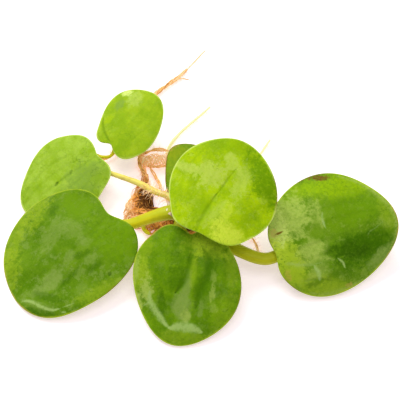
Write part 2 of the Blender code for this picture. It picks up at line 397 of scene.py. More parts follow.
class Hairs(NamedTuple):
    """Fine hairs off a root: how many, how long, and their tone."""

    count: int
    reach: float
    seed: int
    tone: float


class StrandLook(NamedTuple):
    """Three colours of root fibres, their dark dots, roughness and glow, which is painted light."""

    dark: str
    middle: str
    light: str
    dots: float
    roughness: float
    glow: float


BLADES = {
    "leaf_left": Blade(
        joint=(-13.3, 0.1, 6.2), heading=226.5, pitch=-8, roll=2, length=25.6, width=23.8,
        notch=0.2, droop=3.4, dome=1.4, tip=0.0, lobe=0.03, skew=-0.12, cant=-0.08, egg=0.055,
    ),
    "leaf_front": Blade(
        joint=(1.9, -5.7, 8.9), heading=261.5, pitch=-16.5, roll=0, length=20.9, width=19.6,
        notch=0.15, notch_angle=0.18, droop=3.2, dome=1.3, tip=0.05, lobe=0.05, skew=0.055,
        cant=0.12, egg=0.09,
    ),
    "leaf_centre": Blade(
        joint=(3.7, -6.8, 11.2), heading=63.5, pitch=16, roll=6, length=18.4, width=20.1,
        notch=0.04, notch_angle=0.22, droop=0.5, dome=1.3, tip=0.08, lobe=0.077, skew=-0.03,
        cant=0.055,
    ),
    "leaf_right": Blade(
        joint=(17.3, -8.4, 5.9), heading=17.5, pitch=6.5, roll=20, length=23.4, width=22.2,
        notch=0.08, notch_angle=0.22, droop=0.7, dome=3.1, tip=0.07, lobe=0.0, skew=0.1, cant=0.1,
        egg=0.04,
    ),
    "leaf_rear": Blade(
        joint=(4.2, 3.2, 5.0), heading=110, pitch=5, roll=8, length=13.6, width=11.5, notch=0.035,
        notch_angle=0.42, droop=0.8, dome=0.8, tip=0.01, lobe=0.085, skew=-0.13, cant=-0.24,
        egg=0.035,
    ),
    "plantlet_leaf_left": Blade(
        joint=(-15.8, 12.8, 6.0), heading=214, pitch=-10, roll=-4, length=17.5, width=16.4,
        notch=0.1, notch_angle=0.23, droop=1.8, dome=1.2, tip=0.08, lobe=0.07, skew=-0.07,
        cant=0.155, egg=0.075,
    ),
    "plantlet_leaf_rear": Blade(
        joint=(-13.5, 15.3, 6.0), heading=46.5, pitch=16, roll=3, length=14.0, width=12.4,
        notch=0.17, notch_angle=0.24, droop=0.8, dome=0.8, tip=0.05, lobe=0.08, skew=0.04,
        cant=0.21,
    ),
}

FINISHES = {
    "leaf_left": Finish(
        "leaf_green", "mid_green", "deep_green", "grey_sheen", "rim_yellow",
        face=(
            (
                "leaf_bright", (0.7, 2.5, 4.4, 4.4, 5.2, 0.0, 0.6),
                (0.6, 2.6, -5.4, 2.8, 4.4, 0.0, 0.7),
            ),
            (
                "light_green", (0.4, 14.8, -10.8, 8.0, 1.7, 0.5),
                (0.45, 20.0, -6.8, 4.4, 2.2, 0.7, 1.0), (0.5, 8.5, -11.6, 5.0, 2.4, 0.25, 1.0),
                (0.4, 11.4, 9.2, 4.6, 1.5, -0.45, 0.9),
            ),
            # Painted sheen: pale patches of reflected light.
            (
                "grey_sheen", (0.55, 9.6, -5.0, 3.6, 1.9, 0.2, 1.0),
                (0.45, 6.6, -3.0, 2.0, 2.6, 0.2, 1.0), (0.85, 16.2, 0.9, 3.6, 1.7, -0.12),
                (0.6, 10.8, 0.7, 1.3, 1.0, 0.0, 0.9), (0.55, 8.5, 4.1, 1.3, 1.2, 0.0, 0.9),
                (0.4, 7.0, 0.8, 1.5, 1.2, 0.0, 1.0), (0.35, 13.4, 6.4, 1.5, 1.0, 0.0, 1.0),
            ),
            (
                "dark_green", (0.55, 13.8, 3.3, 2.2, 0.7, 0.0, 1.0),
                (0.5, 8.9, 2.2, 1.8, 0.7, -0.5, 1.0), (0.4, 8.8, 5.6, 1.8, 0.6, -0.3, 1.0),
                (0.5, 6.4, -8.8, 1.4, 1.0), (0.5, 18.6, 2.6, 0.8, 2.8, 0.45),
                (0.7, 21.6, 3.6, 0.9, 3.8, 0.5, 0.3),
            ),
            ("shade_green", (0.7, 8.1, 8.4, 0.45, 0.35, 0.3, 0.5)),
        ),
        margin=(
            ("brown_stain", (0.75, 6.5, 11.0, 9.0, 3.0, 0.0, 0.4)),
            ("orange_rim", (0.5, 22.0, -3.0, 5.0, 8.0)),
            ("dark_green", (0.8, 0.2, 7.2, 4.5, 3.4, 0.0, 0.3)),
        ),
        # Painted highlights (the glosses) and a band of painted sheen at the wet tip.
        strokes=(
            (
                "gloss", 1.0, 0.26, 22.9, -0.8, 22.1, -0.5, 21.1, 1.0, 20.6, 3.1, 19.7, 5.0, 18.4,
                6.1,
            ),
            ("gloss", 0.5, 0.14, 22.2, -1.2, 21.2, 0.2, 20.3, 2.2, 19.6, 3.6),
            ("gloss", 0.6, 0.12, 18.4, 6.0, 17.4, 6.6, 16.1, 7.3),
            ("gloss", 0.8, 0.2, 18.9, 6.5, 18.3, 7.2),
            ("pale", 0.8, 0.5, 22.3, -1.0, 21.2, 1.4, 20.4, 3.6, 18.9, 5.6),
        ),
        sheen_islands=0.6, swell=0.2, vein_shade=0.06,
    ),
    "leaf_front": Finish(
        "leaf_green", "front_green", "deep_green", "grey_sheen", "rim_yellow",
        face=(
            (
                "light_green", (0.35, 18.4, 1.2, 1.5, 5.0, 0.0, 0.6),
                (0.2, 12.6, 7.8, 4.6, 1.7, -0.3, 0.9), (0.3, 5.0, 8.0, 4.0, 1.3, 0.15, 0.9),
                (0.65, 8.6, -7.8, 3.2, 1.6, 0.2), (0.35, 4.2, -7.8, 3.4, 1.3, -0.15, 0.9),
                # Painted light: this mark lifts the shade that the centre blade casts on this
                # blade.
                (0.85, 1.4, 3.4, 2.8, 4.2, 0.0, 0.9),
            ),
            # Painted sheen near the wet left edge.
            (
                "grey_pale", (0.85, 10.9, -6.5, 2.5, 1.2, 0.25, 0.9),
                (0.9, 13.0, -8.0, 1.6, 1.2, 0.5, 0.6), (0.5, 7.8, -9.2, 3.0, 1.0),
            ),
            # Painted shade: darker patches beside the middle ridge and along the furrows.
            (
                "dark_green", (0.35, 3.2, -1.6, 3.4, 2.4, 0.0, 0.9), (0.45, 8.2, -1.4, 2.6, 1.3),
                (0.6, 13.2, -3.4, 3.2, 0.9, 0.22, 0.6), (0.5, 5.2, 4.6, 3.6, 1.3, 0.0, 0.7),
                (0.4, 10.2, 3.2, 3.0, 1.5),
            ),
            # Painted sheen: pale patches and streaks of reflected light.
            (
                "grey_sheen", (0.95, 13.0, 0.3, 2.7, 1.8, 0.25, 0.5),
                (0.8, 9.6, 0.7, 2.6, 0.8, -0.1, 0.4),
            ),
            ("grey_pale", (0.5, 14.2, 1.2, 1.3, 0.9)),
            ("grey_sheen", (0.6, 13.2, 3.6, 1.4, 0.6, 0.0, 1.0)),
            (
                "grey_pale", (0.4, 7.3, 5.2, 1.3, 0.6, 0.1, 1.0),
                (0.5, 10.0, 5.3, 1.3, 0.5, 0.05, 1.0), (0.35, 12.4, 5.9, 0.8, 0.8, 0.0, 1.2),
            ),
            ("light_green", (0.35, 6.4, 1.4, 3.2, 0.7, 0.05, 0.6)),
        ),
        margin=(
            ("brown_stain", (0.6, 8.0, 10.0, 6.5, 2.5, 0.0, 0.4)),
            ("orange_rim", (0.8, 0.5, -6.4, 2.6, 2.6, 0.0, 0.4)),
        ),
        # Grooves darkened with painted shade, and glosses that are painted highlights.
        strokes=(
            ("groove", 0.3, 0.5, -0.2, 0.1, 1.4, 0.2, 3.5, 0.5, 5.4, 0.5),
            ("groove", 0.7, 0.5, 3.4, 0.6, 5.6, 0.5, 6.9, 0.4, 9.0, 0.0, 10.8, -1.2),
            ("groove", 0.8, 0.7, 2.3, 2.6, 4.1, 3.8, 6.0, 4.1, 8.4, 3.6, 10.8, 3.0, 13.0, 2.8),
            ("groove", 0.3, 0.5, 3.6, 7.0, 7.0, 7.4, 11.0, 6.9),
            ("gloss", 0.85, 0.55, 11.0, -5.8, 12.6, -5.6, 14.2, -4.4, 15.6, -3.1, 17.0, -1.5),
            ("gloss", 1.0, 0.75, 17.0, -1.5, 16.5, 0.6, 16.5, 2.6, 16.9, 4.4),
            ("gloss", 0.8, 0.16, 13.9, -6.7, 13.3, -6.2, 12.9, -5.4),
            ("gloss", 0.5, 0.14, 2.4, 7.9, 3.6, 8.5),
        ),
        sheen_islands=0.3, vein=0.02, rib_lean=0.5, rib=0.08, swell=0.1,
    ),
    "leaf_centre": Finish(
        "leaf_lime", "lime_green", "lime_deep", "lime_sheen", "rim_pale",
        face=(
            ("lime_deep", (0.7, 17.0, 1.6, 1.6, 5.0, 0.0, 0.6)),
            ("leaf_bright", (0.9, 14.0, -5.8, 5.6, 2.7, 0.84, 0.7)),
            # Painted sheen: pale patches of reflected light.
            (
                "lime_sheen", (0.8, 10.1, 7.6, 1.0, 3.0, 0.0, 0.9),
                (0.8, 10.6, 3.0, 2.6, 2.6, 0.2, 1.2), (0.7, 14.0, 0.6, 1.7, 1.6, 0.0, 1.2),
                (0.6, 11.4, -2.6, 3.2, 1.5, 0.1, 1.2),
            ),
            ("leaf_bright", (0.35, 15.6, 5.2, 2.2, 2.4, 0.3, 1.0)),
            # Painted light: the thin lobe shining with the light that passes through it.
            ("lime_pale", (0.85, 1.6, -4.4, 2.4, 3.2, 0.0, 0.6), (0.5, 4.4, -2.6, 2.6, 1.3, 0.1)),
            # Painted shade along the midrib's fold.
            ("lime_deep", (0.6, 3.4, 1.9, 3.6, 0.9, -0.1, 0.6)),
            ("leaf_bright", (0.3, 6.4, -6.6, 2.2, 1.6, 0.0, 0.9)),
        ),
        margin=(
            ("brown_stain", (0.75, 12.8, -9.0, 7.0, 2.6, -0.48, 0.3)),
            ("lime_deep", (0.85, 0.5, -3.0, 3.0, 4.6, 0.0, 0.3)),
            ("dark_green", (0.6, -0.4, 2.4, 1.6, 2.8, -0.08, 0.3)),
        ),
        # Grooves darkened with painted shade along the fold, and a band of painted sheen.
        strokes=(
            ("groove", 0.6, 0.34, -0.4, 0.9, 1.7, 1.0, 4.6, 0.8, 7.8, 0.4),
            ("groove", 0.35, 0.2, 7.0, 0.5, 10.5, -0.2, 13.6, -0.8),
            ("pale", 0.6, 0.7, 1.0, 0.0, 2.6, -0.2, 5.0, -0.9, 7.3, -1.6),
        ),
        sheen_islands=0.35, rib_lean=-0.03, rib=-0.04, swell=0.12,
        vein_shade=0.1, wrinkle=0.45, crease_shade="leaf_bright",
    ),
    "leaf_right": Finish(
        "leaf_green", "mid_green", "deep_green", "grey_pale", "rim_yellow",
        face=(
            ("lime_deep", (0.8, 14.8, 8.6, 7.0, 2.6, -0.25, 0.5)),
            ("leaf_bright", (0.55, 15.0, 3.4, 6.5, 3.2, 0.0, 0.7)),
            # Painted light: lifts the left edge, which the centre blade shades.
            ("lime_pale", (0.85, 1.1, 3.0, 2.0, 5.0)),
            ("light_green", (0.35, 21.6, 0.6, 1.4, 3.4)),
            ("lime_pale", (0.4, 2.6, -1.4, 2.2, 2.6, 0.0, 1.0)),
            ("lime_deep", (0.5, 6.6, 9.4, 4.2, 1.8, 0.3)),
            (
                "light_green", (0.95, 2.4, -3.4, 2.6, 2.6), (0.55, 5.8, -7.4, 7.2, 2.1, -0.5, 0.5),
                (0.65, 2.2, 0.2, 2.0, 2.4, 0.0, 1.3),
            ),
            ("dark_green", (0.9, 15.0, -3.6, 6.6, 3.0, -0.1, 0.6)),
            ("shade_green", (0.6, 13.2, -3.4, 4.4, 1.6, -0.2)),
            ("dark_green", (0.5, 10.6, -6.4, 3.0, 1.2, 0.1, 0.9)),
            # Painted sheen: pale patches of reflected light, reaching to the left rim.
            ("grey_pale", (0.8, 4.7, 5.8, 4.2, 4.2, 0.2), (0.85, 1.6, 5.2, 2.2, 3.2, 0.0, 0.5)),
            # Painted light on the same shaded left edge.
            ("rim_pale", (0.4, 1.7, 5.4, 2.0, 4.2)),
            # Painted sheen: more pale patches of reflected light.
            (
                "grey_pale", (0.75, 6.5, -1.0, 2.8, 1.7, 0.1, 0.6),
                (0.2, 8.8, 4.4, 1.4, 3.0, 0.1, 1.2), (0.4, 6.0, -5.4, 2.6, 1.2, 0.2, 1.0),
            ),
            ("mid_green", (0.5, 8.6, 1.6, 1.4, 1.6, 0.0, 1.0)),
            # Painted sheen at the lower right.
            ("grey_sheen", (0.8, 18.4, -6.2, 3.0, 1.3, 0.45, 0.7)),
            ("dark_green", (0.5, 5.0, -7.0, 1.8, 0.6, 0.1, 1.0)),
            ("orange_rim", (0.4, 1.1, 3.9, 0.7, 1.0, 0.0, 1.2)),
            ("brown_stain", (0.8, 1.8, 3.6, 0.8, 0.22, 0.1, 0.6)),
            ("orange_rim", (0.25, 0.9, -4.0, 0.6, 1.0, 0.0, 1.0)),
            ("red_brown", (0.9, 12.6, 11.3, 1.9, 0.6, -0.36, 0.9)),
            ("orange_rim", (0.35, 11.1, -9.2, 0.6, 0.4, 0.0, 1.0)),
        ),
        margin=(
            ("red_brown", (0.85, 11.0, 12.0, 3.4, 1.2, 0.0, 0.4)),
            ("orange_rim", (0.7, 21.6, -3.2, 5.0, 6.5, 0.0, 0.3)),
            (
                "brown_stain", (0.6, 0.8, -6.5, 2.4, 3.0, 0.0, 0.4),
                (0.5, 0.0, 4.0, 2.0, 4.5, 0.0, 0.3),
            ),
        ),
        # Bands of painted sheen, glosses that are painted highlights, and a groove darkened with
        # painted shade.
        strokes=(
            ("pale", 0.6, 0.6, 1.1, -2.1, 4.4, -3.1, 7.2, -3.0, 9.7, -4.1),
            ("gloss", 0.6, 0.28, 10.6, 4.8, 10.1, 3.4, 10.2, 1.7),
            ("pale", 0.6, 0.5, 10.6, 7.4, 9.8, 5.0, 9.6, 2.0),
            (
                "pale", 0.7, 0.36, 20.2, -5.4, 22.3, -2.7, 22.8, 1.0, 21.3, 4.9, 18.8, 8.3, 15.5,
                10.8,
            ),
            ("pale", 0.5, 0.36, 3.6, -8.2, 6.0, -9.4, 9.8, -9.7, 13.7, -9.0),
            ("gloss", 0.8, 0.4, 5.9, -3.8, 6.2, -5.3, 6.1, -6.9),
            ("gloss", 0.75, 0.24, 10.4, -4.1, 11.0, -5.0, 11.1, -6.2),
            ("gloss", 0.4, 0.3, 1.4, -1.9, 2.9, -2.8, 5.4, -3.6, 7.6, -3.9),
            ("gloss", 0.5, 0.12, 20.6, -0.3, 18.6, -1.1, 17.3, -1.5, 16.9, -2.5),
            ("groove", 0.4, 0.2, 3.0, -6.0, 5.6, -6.4, 8.4, -7.6),
        ),
        sheen_islands=0.3, rib=0.03, swell=0.16,
    ),
    "leaf_rear": Finish(
        "leaf_green", "olive_green", "mid_green", "olive_green", "brown_stain",
        face=(
            ("orange_rim", (0.5, 12.6, 3.0, 0.7, 5.4, 0.4, 0.9)),
            ("dark_green", (0.4, 7.2, 6.0, 3.0, 1.5, 0.0, 0.9)),
        ),
        swell=0.08,
    ),
    "plantlet_leaf_left": Finish(
        "leaf_young", "young_green", "young_deep", "young_dull", "rim_pale",
        face=(
            ("young_dull", (0.85, 4.6, 2.4, 4.6, 3.2, 0.0, 0.7)),
            (
                "young_deep", (0.5, 1.6, 4.4, 3.0, 1.4, -0.34, 0.5),
                (0.4, 13.5, 4.4, 3.4, 2.0, -0.4, 0.7),
            ),
            (
                "shade_green", (0.6, 9.3, 0.0, 0.55, 0.3, 0.35, 0.7),
                (0.4, 5.9, -0.3, 0.5, 0.25, 0.6, 0.7), (0.12, 7.8, -0.1, 1.4, 0.3, 0.1, 0.9),
            ),
        ),
        sheen_islands=0.25, rib=-0.05, swell=0.12, roughness=0.55,
    ),
    "plantlet_leaf_rear": Finish(
        "leaf_young", "young_bright", "young_deep", "young_green", "rim_pale",
        face=(
            (
                "young_deep", (0.7, 2.4, -1.9, 2.4, 1.7, 0.0, 0.7),
                (0.35, 5.6, 1.6, 1.4, 1.2, 0.0, 0.9),
            ),
            ("lime_green", (0.5, 3.9, 3.8, 1.3, 0.7, 0.0, 0.7)),
            ("young_dull", (0.9, 7.1, 4.2, 1.4, 1.0, 0.3, 0.6)),
            # The first mark is a painted highlight.
            ("rim_pale", (1.0, 9.8, 4.8, 1.1, 0.7, -0.6, 0.5), (0.3, 9.7, 2.6, 1.8, 1.4)),
        ),
        margin=(
            # Painted shade at the notch, under the curled lobe.
            ("dark_green", (0.7, -0.4, 0.8, 1.4, 1.6, 0.0, 0.3)),
        ),
        strokes=(
            # A groove darkened with painted shade between the curled lobe and the blade.
            ("groove", 0.75, 0.22, 3.2, 5.0, 2.0, 4.0, 1.1, 2.7, 0.5, 1.2, 0.2, 0.2),
        ),
        sheen_islands=0.25, rib=0.02, swell=0.08, crease_shade="mid_green", roughness=0.52,
    ),
}

CROWNS = {
    "crown": Crown((0.0, 0.0), CROWN_PROFILE),
    "plantlet_crown": Crown((-19.0, 14.2), PLANTLET_PROFILE),
}

STALKS = {
    "leaf_left": Stalk(
        "crown", 7.0, ((-5.5, -0.7, 6.0), (-9.0, -1.2, 4.5), (-12.0, -1.2, 4.0)), 2.4, 2.0,
    ),
    "leaf_front": Stalk("crown", 7.2, ((-0.3, -3.2, 7.3), (0.8, -4.8, 7.3)), 1.7, 1.5),
    "leaf_centre": Stalk("crown", 8.2, ((2.8, -2.2, 9.1), (3.5, -4.0, 9.9)), 1.5, 1.4),
    "leaf_right": Stalk(
        "crown", 6.0, ((6.4, -4.3, 5.1), (11.2, -7.1, 4.7), (15.3, -8.3, 4.2)), 2.5, 2.3,
    ),
    "leaf_rear": Stalk("crown", 6.2, ((3.0, 2.3, 3.8),), 1.2, 1.1),
    "plantlet_leaf_left": Stalk(
        "plantlet_crown", 2.6, ((-19.4, 12.2, 2.9), (-18.2, 11.8, 3.6)), 0.9, 0.8,
    ),
    "plantlet_leaf_rear": Stalk(
        "plantlet_crown", 2.8,
        ((-16.9, 14.9, 3.0), (-15.2, 14.3, 3.1), (-13.4, 14.2, 3.9)), 0.7, 0.6,
    ),
}

YELLOW_STALKS = ("leaf_left", "plantlet_leaf_left", "plantlet_leaf_rear")

STOLON_ROUTE = (
    (-0.4, 0.7, 5.9), (-1.2, 2.0, 5.9), (-2.3, 3.7, 6.1), (-4.7, 5.1, 5.5), (-8.0, 7.4, 4.8),
    (-12.2, 9.6, 4.0), (-15.8, 11.6, 3.0), (-18.4, 13.6, 2.6),
)
STOLON_DIAMETERS = (1.25, 0.85)
STOLON_THINNING = (0.3, 0.9)
STOLON_ROWS = 120
STOLON_KNOTS = (0.04, 31, 13)
STOLON_BRISTLES = (0.1, 0.4)
OLD_STUB = ((-5.6, 1.4, 3.4), (-6.9, 0.3, 2.2), (-6.9, -0.6, 1.3), (-5.9, -1.3, 0.8))
OLD_STUB_WIDTHS = (1.0, 0.7)
OLD_STUB_TONES = (0.4, 0.6, 0.7)

ROOT_ROUTES = {
    "root_back": ((-2.2, 4.9, 0.9), (-2.1, 11.0, 0.7), (-2.3, 18.4, 0.6), (5.6, 27.8, 0.5)),
    "root_loop": (
        (-7.25, 9.2, 0.9), (-7.9, 13.2, 0.8), (-7.8, 15.8, 0.9), (-5.6, 16.9, 1.9),
        (-2.6, 16.1, 2.1),
    ),
    "root_right": ((2.7, -0.6, 0.9), (8.6, -0.6, 0.7), (13.0, -1.6, 0.6), (14.8, -6.2, 0.5)),
    "root_far_right": ((2.4, 1.3, 0.9), (8.0, 8.6, 0.7), (14.0, 14.6, 0.6), (17.4, 19.9, 0.5)),
    "plantlet_root": (
        (-18.4, 15.2, 1.6), (-16.9, 16.1, 0.9), (-15.2, 15.3, 0.8), (-13.1, 16.9, 0.8),
        (-9.8, 23.6, 0.8), (-5.9, 30.2, 0.8), (-0.7, 35.2, 0.6), (4.7, 42.0, 0.5),
    ),
}
ROOT_HAIRS = {
    "root_back": Hairs(90, 1.3, 41, 0.9),
    "root_far_right": Hairs(90, 1.3, 42, 0.9),
    "root_right": Hairs(110, 1.6, 44, 0.7),
    "root_loop": Hairs(120, 1.4, 50, 0.9),
    "plantlet_root": Hairs(120, 1.2, 54, 1.0),
}
ROOT_HAIR_SHARE = 0.8
BRISTLE_SHARE = 1.3
PALE_ROOT_WIDTHS = (0.95, 0.4)
PALE_ROOT_TONES = (0.5, 0.9, 1.0)
ROOT_KNOTS = (0.1, 40, 17)

CROWN_FOOT = Bundle(
    ((0.5, 0.2, 4.7), (1.2, -1.0, 2.9), (1.7, -2.0, 0.9)),
    16, 1.2, 0.4, 34, (0.0, 0.1, 0.3), -0.3, 30,
)

# The orange roots: the one along the route itself comes first, then its branches and fill.
ROOT_BUNDLES = {
    "root_right": (Bundle(ROOT_ROUTES["root_right"], 3, 0.35, 0.5, 43, (0.3, 0.6, 0.9)),),
    "root_loop": (
        Bundle(ROOT_ROUTES["root_loop"], 5, 0.5, 0.34, 45, (0.15, 0.4, 0.55, 0.6, 0.75), 0.2),
        Bundle(
            ((-7.4, 14.6, 0.9), (-6.2, 13.5, 1.1), (-4.6, 13.1, 1.4), (-2.6, 13.3, 1.6)),
            4, 0.3, 0.28, 46, (0.5, 0.6, 0.75), 0.2,
        ),
        Bundle(
            ((-7.2, 15.3, 0.6), (-5.7, 12.6, 0.9), (-4.5, 10.0, 1.2), (-3.9, 8.0, 2.4),
             (-3.8, 6.4, 4.2)),
            5, 0.3, 0.28, 47, (0.5, 0.35, 0.3), 0.1,
        ),
        Bundle(
            ((-6.4, 8.4, 1.6), (-6.6, 9.8, 1.5), (-6.7, 11.4, 1.2)),
            3, 0.25, 0.6, 48, (0.1, 0.0, 0.3), 0.2,
        ),
        Bundle(
            ((-7.6, 14.8, 0.9), (-5.4, 14.7, 1.2), (-3.6, 14.7, 1.5), (-2.2, 14.6, 1.7)),
            16, 1.5, 0.17, 49, (0.9, 1.0, 0.95), 0.1,
        ),
        Bundle(
            ((-6.2, 8.6, 0.8), (-7.0, 11.4, 0.8), (-7.8, 14.0, 0.7), (-8.1, 16.4, 0.6)),
            8, 0.6, 0.25, 55, (0.15, 0.35, 0.55, 0.7), 0.1,
        ),
    ),
    "plantlet_root": (
        Bundle(ROOT_ROUTES["plantlet_root"], 3, 0.25, 0.36, 51, (0.6, 0.6, 0.7, 0.9, 1.0), 0.6),
        Bundle(
            ((-7.4, 28.2, 0.8), (-5.9, 30.2, 0.8), (-3.4, 32.8, 0.7), (-0.7, 35.2, 0.6),
             (0.9, 37.2, 0.5)),
            6, 0.5, 0.36, 53, (0.45, 0.5, 0.45, 0.7), 0.4,
        ),
        Bundle(
            ((-3.2, 33.2, 0.7), (-1.6, 34.6, 0.7), (0.1, 34.7, 0.6), (1.6, 34.4, 0.5)),
            2, 0.12, 0.26, 52, (0.4, 0.5, 0.1), 0.5,
        ),
    ),
}

STRAND_LOOKS = {
    "crowns": StrandLook("root_brown", "stalk_olive", "stalk_green", 0.4, 0.5, 0.0),
    "papery scales": StrandLook("root_brown", "root_cream", "root_cream", 0.3, 0.5, 0.0),
    "withered stalk": StrandLook("root_tan", "stalk_yellow", "rim_yellow", 0.3, 0.5, 0.15),
    "bristles": StrandLook("root_brown", "root_tan", "root_cream", 0.6, 0.6, 0.2),
    "tuft": StrandLook("root_dark", "root_orange", "root_peach", 0.6, 0.6, 0.1),
    "pale roots": StrandLook("root_tan", "root_pale", "root_pale", 0.1, 0.6, 0.15),
    "orange roots": StrandLook("root_brown", "root_tan", "root_peach", 0.3, 0.6, 0.1),
}

# Colour at the stalk's foot, its own colour, and the colour of its streaks.
STALK_LOOKS = {
    "olive stalks": ("stalk_olive", "stalk_green", "stalk_yellow"),
    "yellow stalks": ("stalk_green", "stalk_yellow", "rim_yellow"),
    "stolon": ("stolon_brown", "stolon_yellow", "root_pale"),
}


def colour(name, description, default):
    """A linear colour that the panel shows as a swatch."""
    return FloatVectorProperty(
        name=name, description=description, default=default, subtype="COLOR", size=3,
        min=0.0, max=1.0,
    )


def length(name, description, default):
    """A length in metres, given here in millimetres."""
    return FloatProperty(
        name=name, description=description, default=default * MM, unit="LENGTH", min=0.0,
        precision=5,
    )


def number(name, description, default, least, most):
    """How many of a kind there are."""
    return IntProperty(name=name, description=description, default=default, min=least, max=most)


class FrogbitColours(bpy.types.PropertyGroup):
    """The colours of blades, stalks and roots, under the names that the finishes use."""

    mid_green: colour("Mid green", "Older blades", (0.150, 0.290, 0.008))
    front_green: colour("Front green", "The front blade", (0.172, 0.335, 0.003))
    deep_green: colour("Deep green", "Cloudy mottling of older blades", (0.088, 0.212, 0.002))
    dark_green: colour("Dark green", "Furrows and shaded patches", (0.048, 0.145, 0.001))
    shade_green: colour("Shade green", "The darkest patches", (0.028, 0.090, 0.001))
    leaf_bright: colour("Bright green", "Saturated parts of older blades", (0.145, 0.300, 0.001))
    light_green: colour("Light green", "Paler parts of older blades", (0.330, 0.480, 0.018))
    # Grey sheen and pale sheen are painted sheen: pale patches that stand for the soft light
    # reflected off the wet blades.
    grey_sheen: colour("Grey sheen", "Waxy patches on older blades", (0.220, 0.340, 0.055))
    grey_pale: colour("Pale sheen", "Palest waxy patches", (0.365, 0.490, 0.080))
    # Pale gloss is a painted highlight: pale streaks where the wet rim reflects the light.
    painted_highlight: colour("Pale gloss", "Wet streaks near the rim", (0.360, 0.520, 0.130))
    lime_green: colour("Lime green", "The young centre blade", (0.425, 0.610, 0.002))
    lime_deep: colour("Deep lime", "Mottling of the centre blade", (0.270, 0.450, 0.002))
    # Lime sheen is painted sheen, light reflected off the centre blade. Pale lime is painted light:
    # light shining through the thin lobe, and a lift for a shaded edge.
    lime_sheen: colour("Lime sheen", "Waxy patches on the centre blade", (0.490, 0.640, 0.080))
    lime_pale: colour("Pale lime", "The thin lobe of the centre blade", (0.600, 0.740, 0.050))
    olive_green: colour("Olive green", "The shaded rear blade", (0.270, 0.350, 0.008))
    young_green: colour("Young green", "The plantlet's left blade", (0.400, 0.590, 0.060))
    young_bright: colour("Young bright green", "The plantlet's rear blade", (0.390, 0.560, 0.015))
    young_deep: colour("Young deep green", "Mottling of the young blades", (0.260, 0.440, 0.008))
    young_dull: colour("Young dull green", "Greyish patches of the plantlet", (0.250, 0.410, 0.045))
    # Rim yellow and rim pale are thin blade margins, paler in their own colour and painted lighter
    # where light catches and shines through the thin edge. Rim pale also paints a highlight and
    # lifts a shaded edge.
    rim_yellow: colour("Rim yellow", "Thin margin of older blades", (0.480, 0.600, 0.030))
    rim_pale: colour("Rim pale", "Thin margin of young blades", (0.700, 0.840, 0.200))
    orange_rim: colour("Orange margin", "Tinted stretches of margin", (0.600, 0.330, 0.090))
    brown_stain: colour("Brown stain", "Browned margins and a crack", (0.200, 0.110, 0.012))
    red_brown: colour("Red-brown", "A blotch on the right blade's edge", (0.170, 0.070, 0.014))
    under_green: colour("Underside green", "The spongy underside", (0.420, 0.560, 0.160))
    stalk_green: colour("Stalk green", "Upper side of the stalks", (0.480, 0.500, 0.006))
    stalk_yellow: colour("Stalk yellow", "The bright left stalk", (0.680, 0.610, 0.006))
    stalk_olive: colour("Stalk olive", "Stalk bases and streaks", (0.260, 0.270, 0.004))
    stolon_yellow: colour("Stolon yellow", "The runner", (0.870, 0.750, 0.150))
    stolon_brown: colour("Stolon brown", "The runner's stained underside", (0.520, 0.300, 0.060))
    root_dark: colour("Root dark brown", "Shaded heart of the tuft", (0.120, 0.042, 0.008))
    root_brown: colour("Root brown", "Strands near the crown", (0.440, 0.180, 0.035))
    root_orange: colour("Root orange", "Strands at the tuft's outer side", (0.860, 0.370, 0.070))
    root_tan: colour("Root tan", "Long side roots", (1.000, 0.560, 0.210))
    root_peach: colour("Root peach", "Palest strands", (1.000, 0.740, 0.440))
    root_cream: colour("Root cream", "Bristles and papery scales", (1.000, 0.880, 0.700))
    root_pale: colour("Root pale yellow", "The pale single roots", (0.920, 0.880, 0.450))


class FrogbitBlades(bpy.types.PropertyGroup):
    """Fine relief of the blades."""

    pucker: length("Pucker", "Height of the blade's small unevenness", 0.014)
    cell_size: length("Cell size", "Spacing of the spongy cells underneath", 1.25)
    cell_depth: length("Cell depth", "Depth of the hollows between the cells", 0.16)
    keel: FloatProperty(
        name="Keel", description="Share of the stalk's width kept by the keel", default=1.0,
        min=0.2, max=1.4,
    )


class FrogbitRoots(bpy.types.PropertyGroup):
    """Number and thickness of the strands and hairs."""

    thick_strands: number("Thick strands", "Main roots of the tuft", 70, 10, 120)
    strands: number("Strands", "Thinner roots of the tuft", 340, 50, 500)
    hairs: number("Hairs", "Root hairs of the tuft", 300, 50, 900)
    thick_width: length("Thick width", "Diameter of a main root", 0.4)
    strand_width: length("Strand width", "Diameter of a thinner root", 0.2)
    hair_width: length("Hair width", "Diameter of a root hair", 0.07)
    bristles: number("Bristles", "Short hairs on the stolon", 240, 20, 500)


class FrogbitStage(bpy.types.PropertyGroup):
    """Light, floor and camera."""

    key_power: FloatProperty(
        name="Key light", description="Power of the large soft light", default=1.9, unit="POWER",
    )
    fill_power: FloatProperty(
        name="Fill light", description="Power of the soft light overhead", default=0.7,
        unit="POWER",
    )
    sky: FloatProperty(
        name="Surround", description="Strength of the even white surround", default=0.45, min=0.0,
    )
    floor_glow: FloatProperty(
        name="Floor glow", description="Light that the floor gives back", default=0.46, min=0.0,
    )
    floor_tint: colour("Floor tint", "Colour of the floor's glow in shade", (1.0, 0.76, 0.88))
    elevation: FloatProperty(
        name="Camera elevation", description="Height angle of the view",
        default=math.radians(60), subtype="ANGLE",
    )
    distance: FloatProperty(
        name="Camera distance", description="From the view's middle", default=0.213,
        unit="LENGTH",
    )


def unit(vectors):
    """Vectors of length one."""
    return vectors / np.maximum(np.linalg.norm(vectors, axis=-1, keepdims=True), 1e-9)


def bell(value, width):
    """A smooth hump of height 1 at zero: e to the minus the squared ratio."""
    return np.exp(-((value / width) ** 2))


def smooth_step(value, low, high):
    """0 below low, 1 above high, and 3t squared minus 2t cubed between them."""
    t = np.clip((value - low) / (high - low), 0, 1)
    return t * t * (3 - 2 * t)


